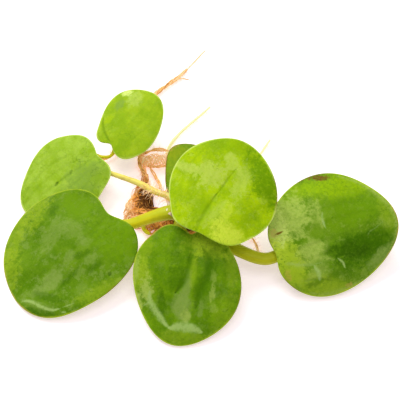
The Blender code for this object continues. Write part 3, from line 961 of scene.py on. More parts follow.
def ripples(x, y, seed, shortest, longest, count=7):
    """Gentle unevenness: the sum of flat waves of seeded ways, lengths and starts."""
    chance = np.random.default_rng(seed)
    way = chance.uniform(0, 2 * np.pi, count)
    span = chance.uniform(shortest, longest, count)
    start = chance.uniform(0, 2 * np.pi, count)
    across = x[..., None] * np.cos(way) + y[..., None] * np.sin(way)
    return np.sin(2 * np.pi * across / span + start).sum(-1) / math.sqrt(count / 2)


def uneven(share, depth, fast, slow):
    """Faint knots along a length: 1 plus the depth times two sines of it."""
    return 1 + depth * np.sin(fast * share) * np.sin(slow * share + 1)


def around(columns):
    """Evenly spaced angles of one full turn."""
    return np.linspace(0, 2 * np.pi, columns, endpoint=False)


def smooth_lines(routes, count):
    """Hermite curves through routes: a bend heads from the point before it to the one after."""
    routes = np.asarray(routes, float)
    ahead = np.concatenate([routes[:, 1:], routes[:, -1:]], 1)
    behind = np.concatenate([routes[:, :1], routes[:, :-1]], 1)
    ways = unit(ahead - behind)
    spans = np.linalg.norm(routes[:, 1:] - routes[:, :-1], axis=2)
    reached = np.concatenate([np.zeros((len(routes), 1)), np.cumsum(spans, 1)], 1)
    place = np.linspace(0, 1, count) * reached[:, -1:]
    stretch = (place[:, :, None] >= reached[:, None, 1:-1]).sum(2)
    line = np.arange(len(routes))[:, None]
    span = spans[line, stretch][..., None]
    t = (place[..., None] - reached[line, stretch][..., None]) / span
    return (
        routes[line, stretch] * (2 * t**3 - 3 * t**2 + 1)
        + routes[line, stretch + 1] * (3 * t**2 - 2 * t**3)
        + ways[line, stretch] * span * (t**3 - 2 * t**2 + t)
        + ways[line, stretch + 1] * span * (t**3 - t**2)
    )


def smooth_line(route, count):
    """One smooth curve through a route."""
    return smooth_lines([route], count)[0]


def line_axes(lines):
    """At each point of lines, the ways along them, to their side and up from them."""
    ways = unit(np.gradient(lines, axis=-2))
    side = unit(np.cross(ways, UPRIGHT))
    return ways, side, np.cross(side, ways)


def tubes(lines, radii, columns, flat=1.0, swell=1.0):
    """Rings across lines, each closed at both ends in a low cone; flat squeezes their height."""
    ways, side, up = line_axes(lines)
    turn = around(columns)[:, None]
    rings = side[:, :, None] * np.cos(turn) + flat * up[:, :, None] * np.sin(turn)
    reach = radii[:, :, None] * swell
    points = lines[:, :, None] + rings * reach[..., None]
    first = lines[:, :1] - ways[:, :1] * radii[:, :1, None] * TUBE_END
    last = lines[:, -1:] + ways[:, -1:] * radii[:, -1:, None] * TUBE_END
    shape = (len(lines), 1, columns, 3)
    ends = [np.broadcast_to(end[:, :, None], shape) for end in (first, last)]
    return np.concatenate([ends[0], points, ends[1]], 1)


def marked(points, shade, tone):
    """Points with the strand's own shade, the share of its length and its tone per corner."""
    marks = np.empty(points.shape)
    marks[..., 0] = np.asarray(shade).reshape(-1, 1, 1)
    marks[..., 1] = np.linspace(0, 1, points.shape[1])[None, :, None]
    marks[..., 2] = tone
    return points, {"strand": marks}


def tones_along(tones, rows):
    """Tones spread evenly over the rows of a tube and its two end points."""
    share = np.linspace(0, 1, rows + 2)
    return np.interp(share, np.linspace(0, 1, len(tones)), tones)[None, :, None]


def sew(points):
    """Faces of closed surfaces whose first and last rows are poles, wound to face outwards."""
    count, rows, columns = points.shape[:3]
    rings = rows - 2
    ring = 1 + np.arange(rings * columns).reshape(rings, columns)
    after = np.roll(ring, -1, axis=1)
    quads = np.stack([ring[:-1], ring[1:], after[1:], after[:-1]], -1).reshape(-1, 4)
    last = 1 + rings * columns
    start = np.stack([np.zeros_like(ring[0]), ring[0], after[0]], -1)
    end = np.stack([ring[-1], np.full_like(ring[-1], last), after[-1]], -1)
    offsets = (np.arange(count) * (last + 1))[:, None, None]
    quads = (quads[None] + offsets).reshape(-1, 4)
    triangles = (np.concatenate([start, end])[None] + offsets).reshape(-1, 3)
    return quads, triangles, count * (last + 1)


def corners(values):
    """One value per corner: each pole row gives one, each ring row gives all."""
    size = values.shape[-1]
    rings = values[:, 1:-1].reshape(len(values), -1, size)
    return np.concatenate([values[:, :1, 0], rings, values[:, -1:, 0]], 1).reshape(-1, size)


def add_piece(name, shapes, material, node=None):
    """One mesh from several families of closed surfaces, with their marks as attributes."""
    places, marks, quads, triangles, start = [], {}, [], [], 0
    for points, attributes in shapes:
        four, three, used = sew(points)
        quads.append(four + start)
        triangles.append(three + start)
        places.append(corners(points))
        for key, values in attributes.items():
            marks.setdefault(key, []).append(corners(values))
        start += used
    quads, triangles = np.concatenate(quads), np.concatenate(triangles)
    mesh = bpy.data.meshes.new(name)
    mesh.vertices.add(start)
    mesh.vertices.foreach_set("co", (np.concatenate(places) * MM).ravel())
    mesh.loops.add(quads.size + triangles.size)
    turns = np.concatenate([quads.ravel(), triangles.ravel()])
    mesh.loops.foreach_set("vertex_index", turns)
    mesh.polygons.add(len(quads) + len(triangles))
    begins = [np.arange(len(quads)) * 4, quads.size + np.arange(len(triangles)) * 3]
    mesh.polygons.foreach_set("loop_start", np.concatenate(begins))
    mesh.update(calc_edges=True)
    if mesh.validate():
        raise ValueError(f"{name} has broken faces")
    for key, values in marks.items():
        layer = mesh.attributes.new(key, "FLOAT_VECTOR", "POINT")
        layer.data.foreach_set("vector", np.concatenate(values).ravel())
    mesh.shade_smooth()
    mesh.materials.append(material)
    obj = bpy.data.objects.new(name, mesh)
    bpy.context.scene.collection.objects.link(obj)
    if node:
        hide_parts(node)
    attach(obj, BODY)
    return obj


def blade_frame(blade):
    """Turns the blade's own axes to where the blade lies, in millimetres."""
    turn = Matrix.Rotation(math.radians(blade.heading), 4, "Z")
    turn = turn @ Matrix.Rotation(math.radians(-blade.pitch), 4, "Y")
    turn = turn @ Matrix.Rotation(math.radians(blade.roll), 4, "X")
    return np.array(Matrix.Translation(Vector(blade.joint)) @ turn)


def place_points(points, matrix):
    """Points of a blade's own axes in the plant's axes."""
    return points @ matrix[:3, :3].T + matrix[:3, 3]


def blade_outline(blade, angle, reach):
    """Place on the blade's plane: a circle drawn in at the notch and out at tip and lobes."""
    from_notch = np.pi - np.abs(angle)
    from_lobe = from_notch - LOBE_PER_NOTCH_ANGLE * blade.notch_angle
    radius = 1 - blade.notch * bell(from_notch, blade.notch_angle)
    radius = radius + blade.tip * bell(angle, TIP_ANGLE)
    radius = radius + blade.lobe * bell(from_lobe, LOBE_SPREAD_PER_NOTCH_ANGLE * blade.notch_angle)
    across = 1 + blade.skew * np.sin(angle) - blade.egg * np.cos(angle)
    across = across + blade.cant * np.sin(angle) * np.cos(angle)
    x = blade.length / 2 * (1 - blade.notch + radius * reach * np.cos(angle))
    y = blade.width / 2 * across * radius * reach * np.sin(angle)
    return x, y


def blade_bend(blade, x, y):
    """Height of the blade's middle surface: it droops with the square of x and domes with y."""
    along = x / blade.length
    return -blade.droop * along * np.abs(along) - blade.dome * (y / (blade.width / 2)) ** 2


def rim_level(reach):
    """A thickness that is full in the middle and rounds off to nothing at the rim."""
    return np.sqrt(np.maximum(0, 1 - reach**4))


def under_depth(blade, reach):
    """How far the underside lies below the middle surface, thickest at the spongy cushion."""
    cushion = np.maximum(0, 1 - (reach / CUSHION_REACH) ** 2) ** 2 * CUSHION_THICKNESS
    return (UNDER_THICKNESS + cushion * blade.length / FULL_LENGTH) * rim_level(reach)


def vein_masks(blade, finish, x, y):
    """Midrib and arching veins, each as bells across curved lines."""
    share = np.clip(x / blade.length, 0, 1)
    middle = finish.rib_lean * x * (1 - x / (RIB_RETURN * blade.length))
    arcs = np.array(VEIN_ARCS)
    bow = blade.width / 2 * (4 * share * (1 - share))[..., None] ** VEIN_ROUNDNESS * arcs
    veins = bell(y[..., None] - middle[..., None] - bow, VEIN_WIDTH)
    midrib = veins[..., len(arcs) // 2]
    side_veins = (veins.sum(-1) - midrib) * smooth_step(share, *VEIN_FADE)
    return midrib * smooth_step(share, *RIB_FADE), side_veins


def stroke_masks(finish, x, y):
    """The grooves, glosses and pale bands: bells across their routes, drawn in at both ends."""
    masks = {kind: np.zeros(x.shape) for kind in STROKE_KINDS}
    for kind, strength, width, *route in finish.strokes:
        line = smooth_line(np.reshape(route, (-1, 2)), STROKE_STEPS)
        far = np.hypot(x[..., None] - line[:, 0], y[..., None] - line[:, 1])
        share = far.argmin(-1) / (STROKE_STEPS - 1)
        width = width * (STROKE_END + np.sin(np.pi * share) ** STROKE_TAPER)
        masks[kind] = np.maximum(masks[kind], bell(far.min(-1), width) * strength)
    return masks


def spongy_cells(x, y, size):
    """A honeycomb from 0 in the hollows to 1 on the cells: three waves at a third of a turn."""
    stray = CELL_STRAY * size * ripples(x, y, 5, *(wave * size for wave in CELL_WAVES))
    ways = np.array((0, 2, 4)) * np.pi / 6
    across = (x + stray)[..., None] * np.cos(ways) + (y - stray)[..., None] * np.sin(ways)
    waves = np.cos(2 * np.pi * across / (size * math.sqrt(3) / 2)).sum(-1)
    return smooth_step(waves, *CELL_EDGES)


def blade_shape(name, seed, relief):
    """The blade as one closed surface: rings from the middle of the top round to the underside."""
    blade, finish = BLADES[name], FINISHES[name]
    top = 1 - (1 - np.linspace(0, 1, TOP_RINGS + 1)) ** RING_CROWDING
    under = 1 - (1 - np.linspace(0, 1, UNDER_RINGS + 1)) ** RING_CROWDING
    reach = np.concatenate([top, under[-2::-1]])[:, None]
    facing = np.concatenate([np.ones(len(top)), -np.ones(len(under) - 1)])[:, None]
    angle = np.linspace(-np.pi, np.pi, BLADE_COLUMNS, endpoint=False)[None]
    x, y = blade_outline(blade, angle, reach)
    rim_x, rim_y = blade_outline(blade, angle, 1.0)
    level = rim_level(reach)
    rib, veins = vein_masks(blade, finish, x, y)
    strokes = stroke_masks(finish, x, y)
    away = smooth_step(np.hypot(x, y), *SWELL_START)
    z = blade_bend(blade, x, y) + finish.swell * away * ripples(x, y, seed, *SWELL_WAVES)
    skin = finish.rib * rib - finish.vein * veins - finish.groove * strokes["groove"]
    skin = skin + relief.pucker / MM * ripples(x, y, seed + 1, *PUCKER_WAVES)
    cells = spongy_cells(x, y, relief.cell_size / MM)
    hollow = relief.cell_depth / MM * (1 - cells) * smooth_step(-reach, *CELL_FADE)
    below = hollow * level - under_depth(blade, reach)
    z = z + np.where(facing > 0, level * (TOP_THICKNESS + skin), below)
    points = place_points(np.stack([x, y, z], -1), blade_frame(blade))
    edge = np.hypot(rim_x - x, rim_y - y)
    shade = finish.vein_shade * (rib + veins) + GROOVE_SHADE * strokes["groove"]
    side = np.broadcast_to(facing, x.shape)
    marks = {
        "place": np.stack([x, y, side * PAINT_HEIGHT], -1)[None],
        "parts": np.stack([edge, np.clip(shade, 0, 1), (1 - side) / 2], -1)[None],
        "relief": np.stack([cells, strokes["gloss"], strokes["pale"]], -1)[None],
    }
    return points[None], marks


def join(tree, kind, values=(), **settings):
    """Adds a node: settings are its own, values its inputs, each a value or another's output."""
    node = tree.nodes.new(kind)
    row, column = divmod(len(tree.nodes), NODES_IN_ROW)
    node.location = (NODE_STEPS[0] * column, NODE_STEPS[1] * row)
    for key, value in settings.items():
        setattr(node, key, value)
    for key, value in dict(values).items():
        if isinstance(value, bpy.types.NodeSocket):
            tree.links.new(value, node.inputs[key])
        else:
            node.inputs[key].default_value = value
    return node


def mixed(tree, factor, first, second):
    """The colour between two colours."""
    node = join(tree, "ShaderNodeMix", {0: factor, 6: first, 7: second}, data_type="RGBA")
    return node.outputs[2]


def stretched(tree, value, low, high, start=0.0, end=1.0):
    """The value from low to high laid smoothly on start to end."""
    inputs = {"Value": value, "From Min": low, "From Max": high, "To Min": start, "To Max": end}
    return join(tree, "ShaderNodeMapRange", inputs, interpolation_type="SMOOTHSTEP").outputs[0]


def worked(tree, operation, first, second):
    """The result of one sum on two values."""
    return join(tree, "ShaderNodeMath", {0: first, 1: second}, operation=operation).outputs[0]


def times(tree, first, second):
    """One value times another."""
    return worked(tree, "MULTIPLY", first, second)


def from_half(tree, value):
    """How far a value is above a half."""
    return worked(tree, "SUBTRACT", value, 0.5)


def vector_sum(tree, operation, first, second):
    """The result of one sum on two vectors."""
    values = {0: first, 1: second}
    return join(tree, "ShaderNodeVectorMath", values, operation=operation).outputs[0]


def split(tree, vector):
    """The three numbers of a vector."""
    return join(tree, "ShaderNodeSeparateXYZ", {0: vector}).outputs


def grain(tree, place, scale, detail=2.0, rough=0.55):
    """Cloudy noise from 0 to 1 at so many patches per unit."""
    inputs = {"Vector": place, "Scale": scale, "Detail": detail, "Roughness": rough}
    return join(tree, "ShaderNodeTexNoise", inputs).outputs[0]


def object_place(tree):
    """Coordinates of the object, which stay with the surface."""
    return join(tree, "ShaderNodeTexCoord").outputs["Object"]


def blade_mottling(tree, take):
    """Cloudy two-green mottling of a blade, with island patches of painted sheen, flecks, wrinkles
    and fine ribs.
    """
    place = take["Place"]
    per_cloud = worked(tree, "DIVIDE", 1.0, take["Cloud Size"])
    cloud = stretched(tree, grain(tree, place, per_cloud, *CLOUD_NOISE), *CLOUD_LEVELS)
    other = vector_sum(tree, "ADD", place, OTHER_PLACE)
    island = stretched(tree, grain(tree, other, *ISLAND_NOISE), *ISLAND_LEVELS)
    fleck = grain(tree, other, *FLECK_NOISE)
    level = from_half(tree, grain(tree, other, *WRINKLE_NOISE))
    wrinkle = stretched(tree, worked(tree, "ABSOLUTE", level, 0.0), *WRINKLE_LEVELS)
    wrinkled = stretched(tree, grain(tree, other, *WRINKLED_NOISE), *WRINKLED_LEVELS)
    wrinkle = times(tree, wrinkle, wrinkled)
    ribs = grain(tree, vector_sum(tree, "MULTIPLY", place, RIB_SCALES), *RIB_NOISE)
    cells = join(
        tree, "ShaderNodeTexVoronoi", {"Vector": place, "Scale": FINE_CELLS},
        feature="SMOOTH_F1",
    )
    toned = mixed(tree, cloud, take["Dark"], take["Light"])
    # Painted sheen: the island patches and the pale flecks take the sheen colour, which stands for
    # reflected light.
    toned = mixed(tree, times(tree, island, take["Sheen Islands"]), toned, take["Sheen"])
    toned = mixed(tree, stretched(tree, fleck, *DARK_FLECKS), toned, take["Dark"])
    toned = mixed(tree, stretched(tree, fleck, *SHEEN_FLECKS), toned, take["Sheen"])
    toned = mixed(tree, stretched(tree, ribs, *RIB_LEVELS), toned, take["Light"])
    height = worked(tree, "ADD", times(tree, ribs, RIB_HEIGHT), cells.outputs[0])
    height = worked(tree, "ADD", times(tree, island, ISLAND_HEIGHT), height)
    height = worked(tree, "SUBTRACT", height, wrinkle)
    return {"Colour": toned, "Height": height, "Cloud": cloud, "Wrinkle": wrinkle}


def soft_patch(tree, take):
    """A soft, ragged oval on a blade, as a mask that is 1 inside it."""
    place = take["Place"]
    turned = join(
        tree, "ShaderNodeVectorRotate",
        {"Vector": vector_sum(tree, "SUBTRACT", place, take["Middle"]), "Angle": take["Turn"]},
        rotation_type="Z_AXIS", invert=True,
    )
    oval = vector_sum(tree, "DIVIDE", turned.outputs[0], take["Half Size"])
    far = join(tree, "ShaderNodeVectorMath", {0: oval}, operation="LENGTH").outputs["Value"]
    wander = from_half(tree, grain(tree, place, *PATCH_NOISE))
    wander = times(tree, times(tree, wander, take["Ragged"]), PATCH_STRAY)
    inside = stretched(tree, worked(tree, "ADD", far, wander), *PATCH_EDGE)
    broken = stretched(tree, grain(tree, place, *PATCH_BREAKS), *PATCH_BREAK_LEVELS)
    return {"Mask": times(tree, inside, broken)}


def blade_margin(tree, take):
    """Creases, glosses, rim and the pale spongy underside laid over a blade's colour.

    Creases and the underside's hollows take painted shade, pale bands painted sheen, glosses a
    painted highlight, and the rim is partly painted light.
    """
    place = take["Place"]
    parts, relief = split(tree, take["Parts"]), split(tree, take["Relief"])
    broken = stretched(tree, grain(tree, place, *PALE_NOISE), *PALE_LEVELS)
    # Painted shade: veins and grooves darken towards the shade colour of the creases.
    toned = mixed(tree, parts[1], take["Colour"], take["Crease Shade Colour"])
    # Painted sheen: pale bands take the blade's sheen colour.
    toned = mixed(tree, times(tree, relief[2], broken), toned, take["Pale Colour"])
    # Glosses: streaky strokes in the highlight colour are a painted highlight; the same mask also
    # gives the coat its real gloss.
    streaky = stretched(tree, grain(tree, place, *STREAK_NOISE), *STREAK_LEVELS)
    gloss = stretched(tree, times(tree, relief[1], streaky), *GLOSS_LEVELS)
    toned = mixed(tree, times(tree, gloss, HIGHLIGHT_COVER), toned, take["Highlight Colour"])
    # The rim: a thin margin, paler in its own colour and painted lighter where light catches and
    # shines through the edge.
    width = stretched(tree, grain(tree, place, *RIM_NOISE), *RIM_WIDTHS)
    inward = worked(tree, "MINIMUM", worked(tree, "DIVIDE", parts[0], width), 1.0)
    rim = worked(tree, "SUBTRACT", 1.0, inward)
    toned = mixed(tree, times(tree, rim, RIM_COVER), toned, take["Rim Colour"])
    # Painted shade: the hollows between the underside's cells darken towards the shade colour of
    # the creases.
    cells = stretched(tree, relief[0], *UNDER_LEVELS)
    hollow = mixed(tree, cells, take["Crease Shade Colour"], take["Under Colour"])
    under = mixed(tree, UNDER_VEIL, hollow, take["Under Colour"])
    return {"Colour": mixed(tree, parts[2], toned, under), "Gloss": gloss}


def strand_colour(tree, take):
    """Root colour along a strand: two colours by shade, a third towards the tip, and dark dots."""
    strand, place = split(tree, take["Strand"]), object_place(tree)
    blotch = grain(tree, place, *ROOT_BLOTCHES)
    shade = times(tree, from_half(tree, strand[0]), ROOT_SHADE_SHARE)
    tone = worked(tree, "ADD", strand[2], shade)
    tone = worked(tree, "ADD", tone, times(tree, from_half(tree, blotch), ROOT_BLOTCH_SHARE))
    toned = mixed(tree, stretched(tree, tone, 0.0, 0.5), take["Dark"], take["Middle"])
    toned = mixed(tree, stretched(tree, tone, 0.5, 1.0), toned, take["Light"])
    dots = stretched(tree, grain(tree, place, *ROOT_DOTS), *ROOT_DOT_LEVELS)
    toned = mixed(tree, times(tree, dots, take["Dots"]), toned, take["Dark"])
    return {"Colour": toned, "Height": blotch}


# Each shader group: what wires it, its inputs by kind, and its outputs by kind.
GROUPS = {
    "blade mottling": (
        blade_mottling,
        {"Vector": ("Place",), "Color": ("Light", "Dark", "Sheen"),
         "Float": ("Sheen Islands", "Cloud Size")},
        {"Color": ("Colour",), "Float": ("Height", "Cloud", "Wrinkle")},
    ),
    "soft patch": (
        soft_patch,
        {"Vector": ("Place", "Middle", "Half Size"), "Float": ("Turn", "Ragged")},
        {"Float": ("Mask",)},
    ),
    "blade margin": (
        blade_margin,
        {"Vector": ("Parts", "Relief", "Place"),
         "Color": ("Colour", "Crease Shade Colour", "Highlight Colour", "Pale Colour", "Rim Colour",
                   "Under Colour")},
        {"Color": ("Colour",), "Float": ("Gloss",)},
    ),
    "strand colour": (
        strand_colour,
        {"Vector": ("Strand",), "Color": ("Dark", "Middle", "Light"), "Float": ("Dots",)},
        {"Color": ("Colour",), "Float": ("Height",)},
    ),
}


def found_group(name):
    """The shader group of that name, built once from its named sockets."""
    if name in bpy.data.node_groups:
        return bpy.data.node_groups[name]
    wire, *sides = GROUPS[name]
    tree = bpy.data.node_groups.new(name, "ShaderNodeTree")
    for side, sockets in zip(("INPUT", "OUTPUT"), sides):
        for kind, labels in sockets.items():
            for label in labels:
                tree.interface.new_socket(label, in_out=side, socket_type=f"NodeSocket{kind}")
    take = tree.nodes.new("NodeGroupInput").outputs
    give = tree.nodes.new("NodeGroupOutput").inputs
    for label, socket in wire(tree, take).items():
        tree.links.new(socket, give[label])
    return tree


def use_group(tree, name, values):
    """Places a shader group with its own values."""
    return join(tree, "ShaderNodeGroup", values, node_tree=found_group(name)).outputs


def new_material(name, roughness, specular=0.4, tint=(1.0, 1.0, 1.0)):
    """A node material: its tree and its Principled shader, ready for colour and bump."""
    material = bpy.data.materials.new(name)
    material.use_nodes = True
    shader = material.node_tree.nodes["Principled BSDF"]
    shader.inputs["Roughness"].default_value = roughness
    shader.inputs["Coat Roughness"].default_value = 0.15
    shader.inputs["Specular IOR Level"].default_value = specular
    shader.inputs["Specular Tint"].default_value = (*tint, 1.0)
    return material, material.node_tree, shader


def read_mark(tree, name):
    """The vector that a mesh keeps per corner under a name."""
    return join(tree, "ShaderNodeAttribute", attribute_name=name).outputs["Vector"]


def add_bump(tree, shader, height, strength, distance):
    """Fine relief on the shader's normal; the distance is in millimetres."""
    values = {"Height": height, "Strength": strength, "Distance": distance * MM}
    bump = join(tree, "ShaderNodeBump", values)
    tree.links.new(bump.outputs[0], shader.inputs["Normal"])


def opaque(colours, *names):
    """Colours of the panel, by name, with full alpha."""
    return [(*getattr(colours, name), 1.0) for name in names]


def painted(tree, base, marks, place, colours):
    """A colour with a blade's soft marks laid over it one by one."""
    for label, *rows in marks:
        tint = opaque(colours, label)[0]
        for row in rows:
            row = row + MARK_ENDING[len(row) - MARK_NUMBERS :]
            strength, x, y, half_x, half_y, turn, ragged = row
            mask = use_group(tree, "soft patch", {
                "Place": place, "Middle": (x, y, PAINT_HEIGHT),
                "Half Size": (half_x, half_y, PAINT_HEIGHT), "Turn": turn, "Ragged": ragged,
            })["Mask"]
            base = mixed(tree, times(tree, mask, strength), base, tint)
    return base


def blade_material(name, colours):
    """Mottled blade with its own marks, painted shade in creases and wrinkles, rim and underside.
    """
    finish = FINISHES[name]
    material, tree, shader = new_material(
        name, finish.roughness, specular=0.16, tint=GREEN_GLOSS,
    )
    shader.inputs["Subsurface Weight"].default_value = 0.08
    shader.inputs["Subsurface Radius"].default_value = (0.5, 1.0, 0.1)
    shader.inputs["Subsurface Scale"].default_value = 0.6 * MM
    names = (finish.light, finish.dark, finish.sheen, finish.rim, finish.crease_shade)
    light, dark, sheen, rim, crease_shade = opaque(colours, *names)
    gloss, under = opaque(colours, "painted_highlight", "under_green")
    place = read_mark(tree, "place")
    skin = use_group(tree, "blade mottling", {
        "Place": place, "Light": light, "Dark": dark, "Sheen": sheen,
        "Sheen Islands": finish.sheen_islands, "Cloud Size": CLOUD_SIZE,
    })
    face = painted(tree, skin["Colour"], finish.face, place, colours)
    # Painted shade: the wrinkles darken the face towards the shade colour of the creases.
    wrinkle = times(tree, skin["Wrinkle"], finish.wrinkle)
    edged = use_group(tree, "blade margin", {
        "Colour": mixed(tree, wrinkle, face, crease_shade), "Place": place,
        "Parts": read_mark(tree, "parts"), "Relief": read_mark(tree, "relief"),
        "Crease Shade Colour": crease_shade, "Highlight Colour": gloss, "Pale Colour": sheen,
        "Rim Colour": painted(tree, rim, finish.margin, place, colours), "Under Colour": under,
    })
    tree.links.new(edged["Colour"], shader.inputs["Base Color"])
    smoothest, roughest = finish.roughness - 0.06, finish.roughness + 0.08
    rough = stretched(tree, skin["Cloud"], 0.0, 1.0, smoothest, roughest)
    tree.links.new(rough, shader.inputs["Roughness"])
    tree.links.new(times(tree, edged["Gloss"], 0.25), shader.inputs["Coat Weight"])
    add_bump(tree, shader, skin["Height"], strength=0.4, distance=0.06)
    return material


def strand_material(name, colours):
    """Root fibres of three colours; glow is painted light that lifts the shade of the fibres."""
    look = STRAND_LOOKS[name]
    material, tree, shader = new_material(name, look.roughness, specular=0.2, tint=ROOT_GLOSS)
    shader.inputs["Emission Strength"].default_value = look.glow
    dark, middle, light = opaque(colours, look.dark, look.middle, look.light)
    found = use_group(tree, "strand colour", {
        "Strand": read_mark(tree, "strand"), "Dark": dark, "Middle": middle, "Light": light,
        "Dots": look.dots,
    })
    # Painted light: the fibres glow in their own colour.
    for socket in ("Base Color", "Emission Color"):
        tree.links.new(found["Colour"], shader.inputs[socket])
    add_bump(tree, shader, found["Height"], strength=0.3, distance=0.05)
    return material


def stalk_material(name, colours):
    """Moist stalk: base colour at the crown, fine lengthwise streaks and faint blotches."""
    material, tree, shader = new_material(name, 0.42, specular=0.35, tint=STALK_GLOSS)
    base, main, streak = opaque(colours, *STALK_LOOKS[name])
    strand = read_mark(tree, "strand")
    parts = split(tree, strand)
    fibres = grain(tree, vector_sum(tree, "MULTIPLY", strand, FIBRE_SCALES), *FIBRE_NOISE)
    blotch = grain(tree, object_place(tree), *STALK_BLOTCHES)
    toned = mixed(tree, stretched(tree, parts[1], *STALK_FOOT_LEVELS), base, main)
    toned = mixed(tree, stretched(tree, fibres, *FIBRE_LEVELS), toned, streak)
    toned = mixed(tree, stretched(tree, blotch, *STALK_BLOTCH_LEVELS), toned, base)
    toned = mixed(tree, stretched(tree, parts[2], *STALK_UNDER_LEVELS), base, toned)
    tree.links.new(toned, shader.inputs["Base Color"])
    add_bump(tree, shader, fibres, strength=0.35, distance=0.06)
    return material


def crown_radius(crown, height):
    """The crown's radius at a height, straight between the corners of its outline."""
    radii, heights = np.array(crown.profile).T
    return np.interp(height, heights[::-1], radii[::-1])


def keel_line(blade, end, keel):
    """Points and radii of the stalk's run under the blade, sunk a little into its underside."""
    along = np.array(KEEL_STATIONS) * blade.length
    back = blade.length / 2 * (1 - blade.notch)
    ahead = blade.length / 2 * (1 + blade.tip)
    reach = np.where(along < back, 1 - along / back, (along - back) / ahead)
    radii = np.array(KEEL_RADII) * end / 2 * keel
    depth = under_depth(blade, np.clip(reach, 0, 1)) + KEEL_SINK * radii
    return np.stack([along, 0 * along, blade_bend(blade, along, 0 * along) - depth], -1), radii


def stalk_shape(name, keel):
    """A grooved oval tube from inside the crown, under the notch, and on as a tapering keel."""
    blade, stalk = BLADES[name], STALKS[name]
    crown = CROWNS[stalk.crown]
    centre = np.array((*crown.place, stalk.height))
    way = unit(np.array((*stalk.bends[0][:2], stalk.height)) - centre)
    radius = crown_radius(crown, stalk.height)
    inside = [centre + way * radius * STALK_START, centre + way * (radius + GAP + STALK_CLEAR)]
    under_notch = (NOTCH_INSET, 0, -UNDER_THICKNESS - GAP - stalk.end / 2)
    keel_points, keel_radii = keel_line(blade, stalk.end, keel)
    ends = place_points(np.vstack([under_notch, keel_points]), blade_frame(blade))
    route = np.vstack([inside, stalk.bends, ends])
    spans = np.linalg.norm(np.diff(route, axis=0), axis=1)
    reached = np.concatenate([[0], np.cumsum(spans)]) / spans.sum()
    notch = len(route) - len(KEEL_RADII) - 1
    radii = np.interp(reached[: notch + 1], (0, reached[notch]), (stalk.start / 2, stalk.end / 2))
    share = np.linspace(0, 1, STALK_ROWS)
    thickness = np.interp(share, reached, np.concatenate([radii, keel_radii]))
    thickness = thickness * (1 + STALK_FOOT_SWELL * bell(share, STALK_FOOT_REACH))
    turn = around(STALK_COLUMNS)
    lines = STALK_LINE_DEPTH * np.cos(STALK_LINES * turn + STALK_TWIST * share[:, None])
    swell = 1 + lines - STALK_FURROW * bell(turn - np.pi / 2, STALK_FURROW_WIDTH)
    line = smooth_line(route, STALK_ROWS)[None]
    points = tubes(line, thickness[None], STALK_COLUMNS, STALK_FLATNESS, swell[None])
    return marked(points, 0.5, (1 + np.sin(turn)) / 2)


def stolon_shape():
    """A round runner, thinner towards the plantlet, toned from 1 on top to 0 underneath."""
    share = np.linspace(0, 1, STOLON_ROWS)[None]
    thin = smooth_step(share, *STOLON_THINNING)
    radii = (STOLON_DIAMETERS[0] * (1 - thin) + STOLON_DIAMETERS[1] * thin) / 2
    radii = radii * uneven(share, *STOLON_KNOTS)
    points = tubes(smooth_line(STOLON_ROUTE, STOLON_ROWS)[None], radii, STALK_COLUMNS)
    return marked(points, 0.5, (1 + np.sin(around(STALK_COLUMNS))) / 2)


def crown_shape(name):
    """The outline turned about the upright axis, ribbed where leaf bases wrap round it."""
    crown = CROWNS[name]
    radii, heights = np.array(crown.profile).T
    low = heights[-1] - CROWN_FOOT_DEPTH
    height = np.linspace(heights[0], low, CROWN_ROWS)[:, None]
    outline = (np.append(-heights[:-1], -low), np.append(radii[:-1], 0.0))
    turn = around(CROWN_COLUMNS)[None]
    ribs = sum(depth * np.cos(ribs * turn + lean * height) for depth, ribs, lean in CROWN_RIBS)
    radius = np.interp(-height, *outline) * (1 + ribs)
    x = crown.place[0] + radius * np.cos(turn)
    y = crown.place[1] + radius * np.sin(turn)
    return marked(np.stack([x, y, np.broadcast_to(height, x.shape)], -1)[None], 0.5, 0.4)


def scales_shape():
    """Papery scales at the stalk bases: flat lens-shaped blades that curl outwards."""
    feet, tips = np.array(SCALE_FEET), np.array(SCALE_TIPS)
    middles = (feet + tips) / 2 + UPRIGHT * SCALE_RISE
    lines = smooth_lines(np.stack([feet, middles, tips], 1), SCALE_ROWS)
    lens = SCALE_END + np.sin(np.pi * np.linspace(0, 1, SCALE_ROWS) ** SCALE_FULLNESS)
    radii = np.array(SCALE_WIDTHS)[:, None] * lens[None]
    points = tubes(lines, radii, SCALE_COLUMNS, SCALE_FLATNESS)
    return marked(points, 0.5, np.array(SCALE_TONES)[:, None, None])


def mound_top(from_crown):
    """The mound's full height at a distance from the crown, near which it rises."""
    near = np.maximum(0, 1 - from_crown / TUFT_CROWN_REACH)
    return TUFT_HEIGHT + TUFT_CROWN_RISE * smooth_step(near, 0, 1)


def on_mound(share, turn):
    """A point over the mound: share along its middle line, turn round its cross-section."""
    axis = smooth_line(TUFT_ROUTE, TUFT_STEPS)
    places = np.linspace(0, 1, len(axis))
    centre = np.stack([np.interp(share, places, axis[:, i]) for i in range(3)], -1)
    ways = unit(np.gradient(axis, axis=0))
    way = unit(np.stack([np.interp(share, places, ways[:, i]) for i in range(3)], -1))
    side = np.stack([-way[..., 1], way[..., 0], 0 * share], -1)
    ball = 2 * np.sqrt(np.maximum(0, share * (1 - share)))
    out = TUFT_HALF_WIDTH * ball * np.cos(turn)
    up = np.maximum(0, (ball * np.sin(turn) + TUFT_SINK) / (1 + TUFT_SINK))
    up = up * mound_top(np.linalg.norm(centre, axis=-1))
    return centre + side * out[..., None] + UPRIGHT * up[..., None]


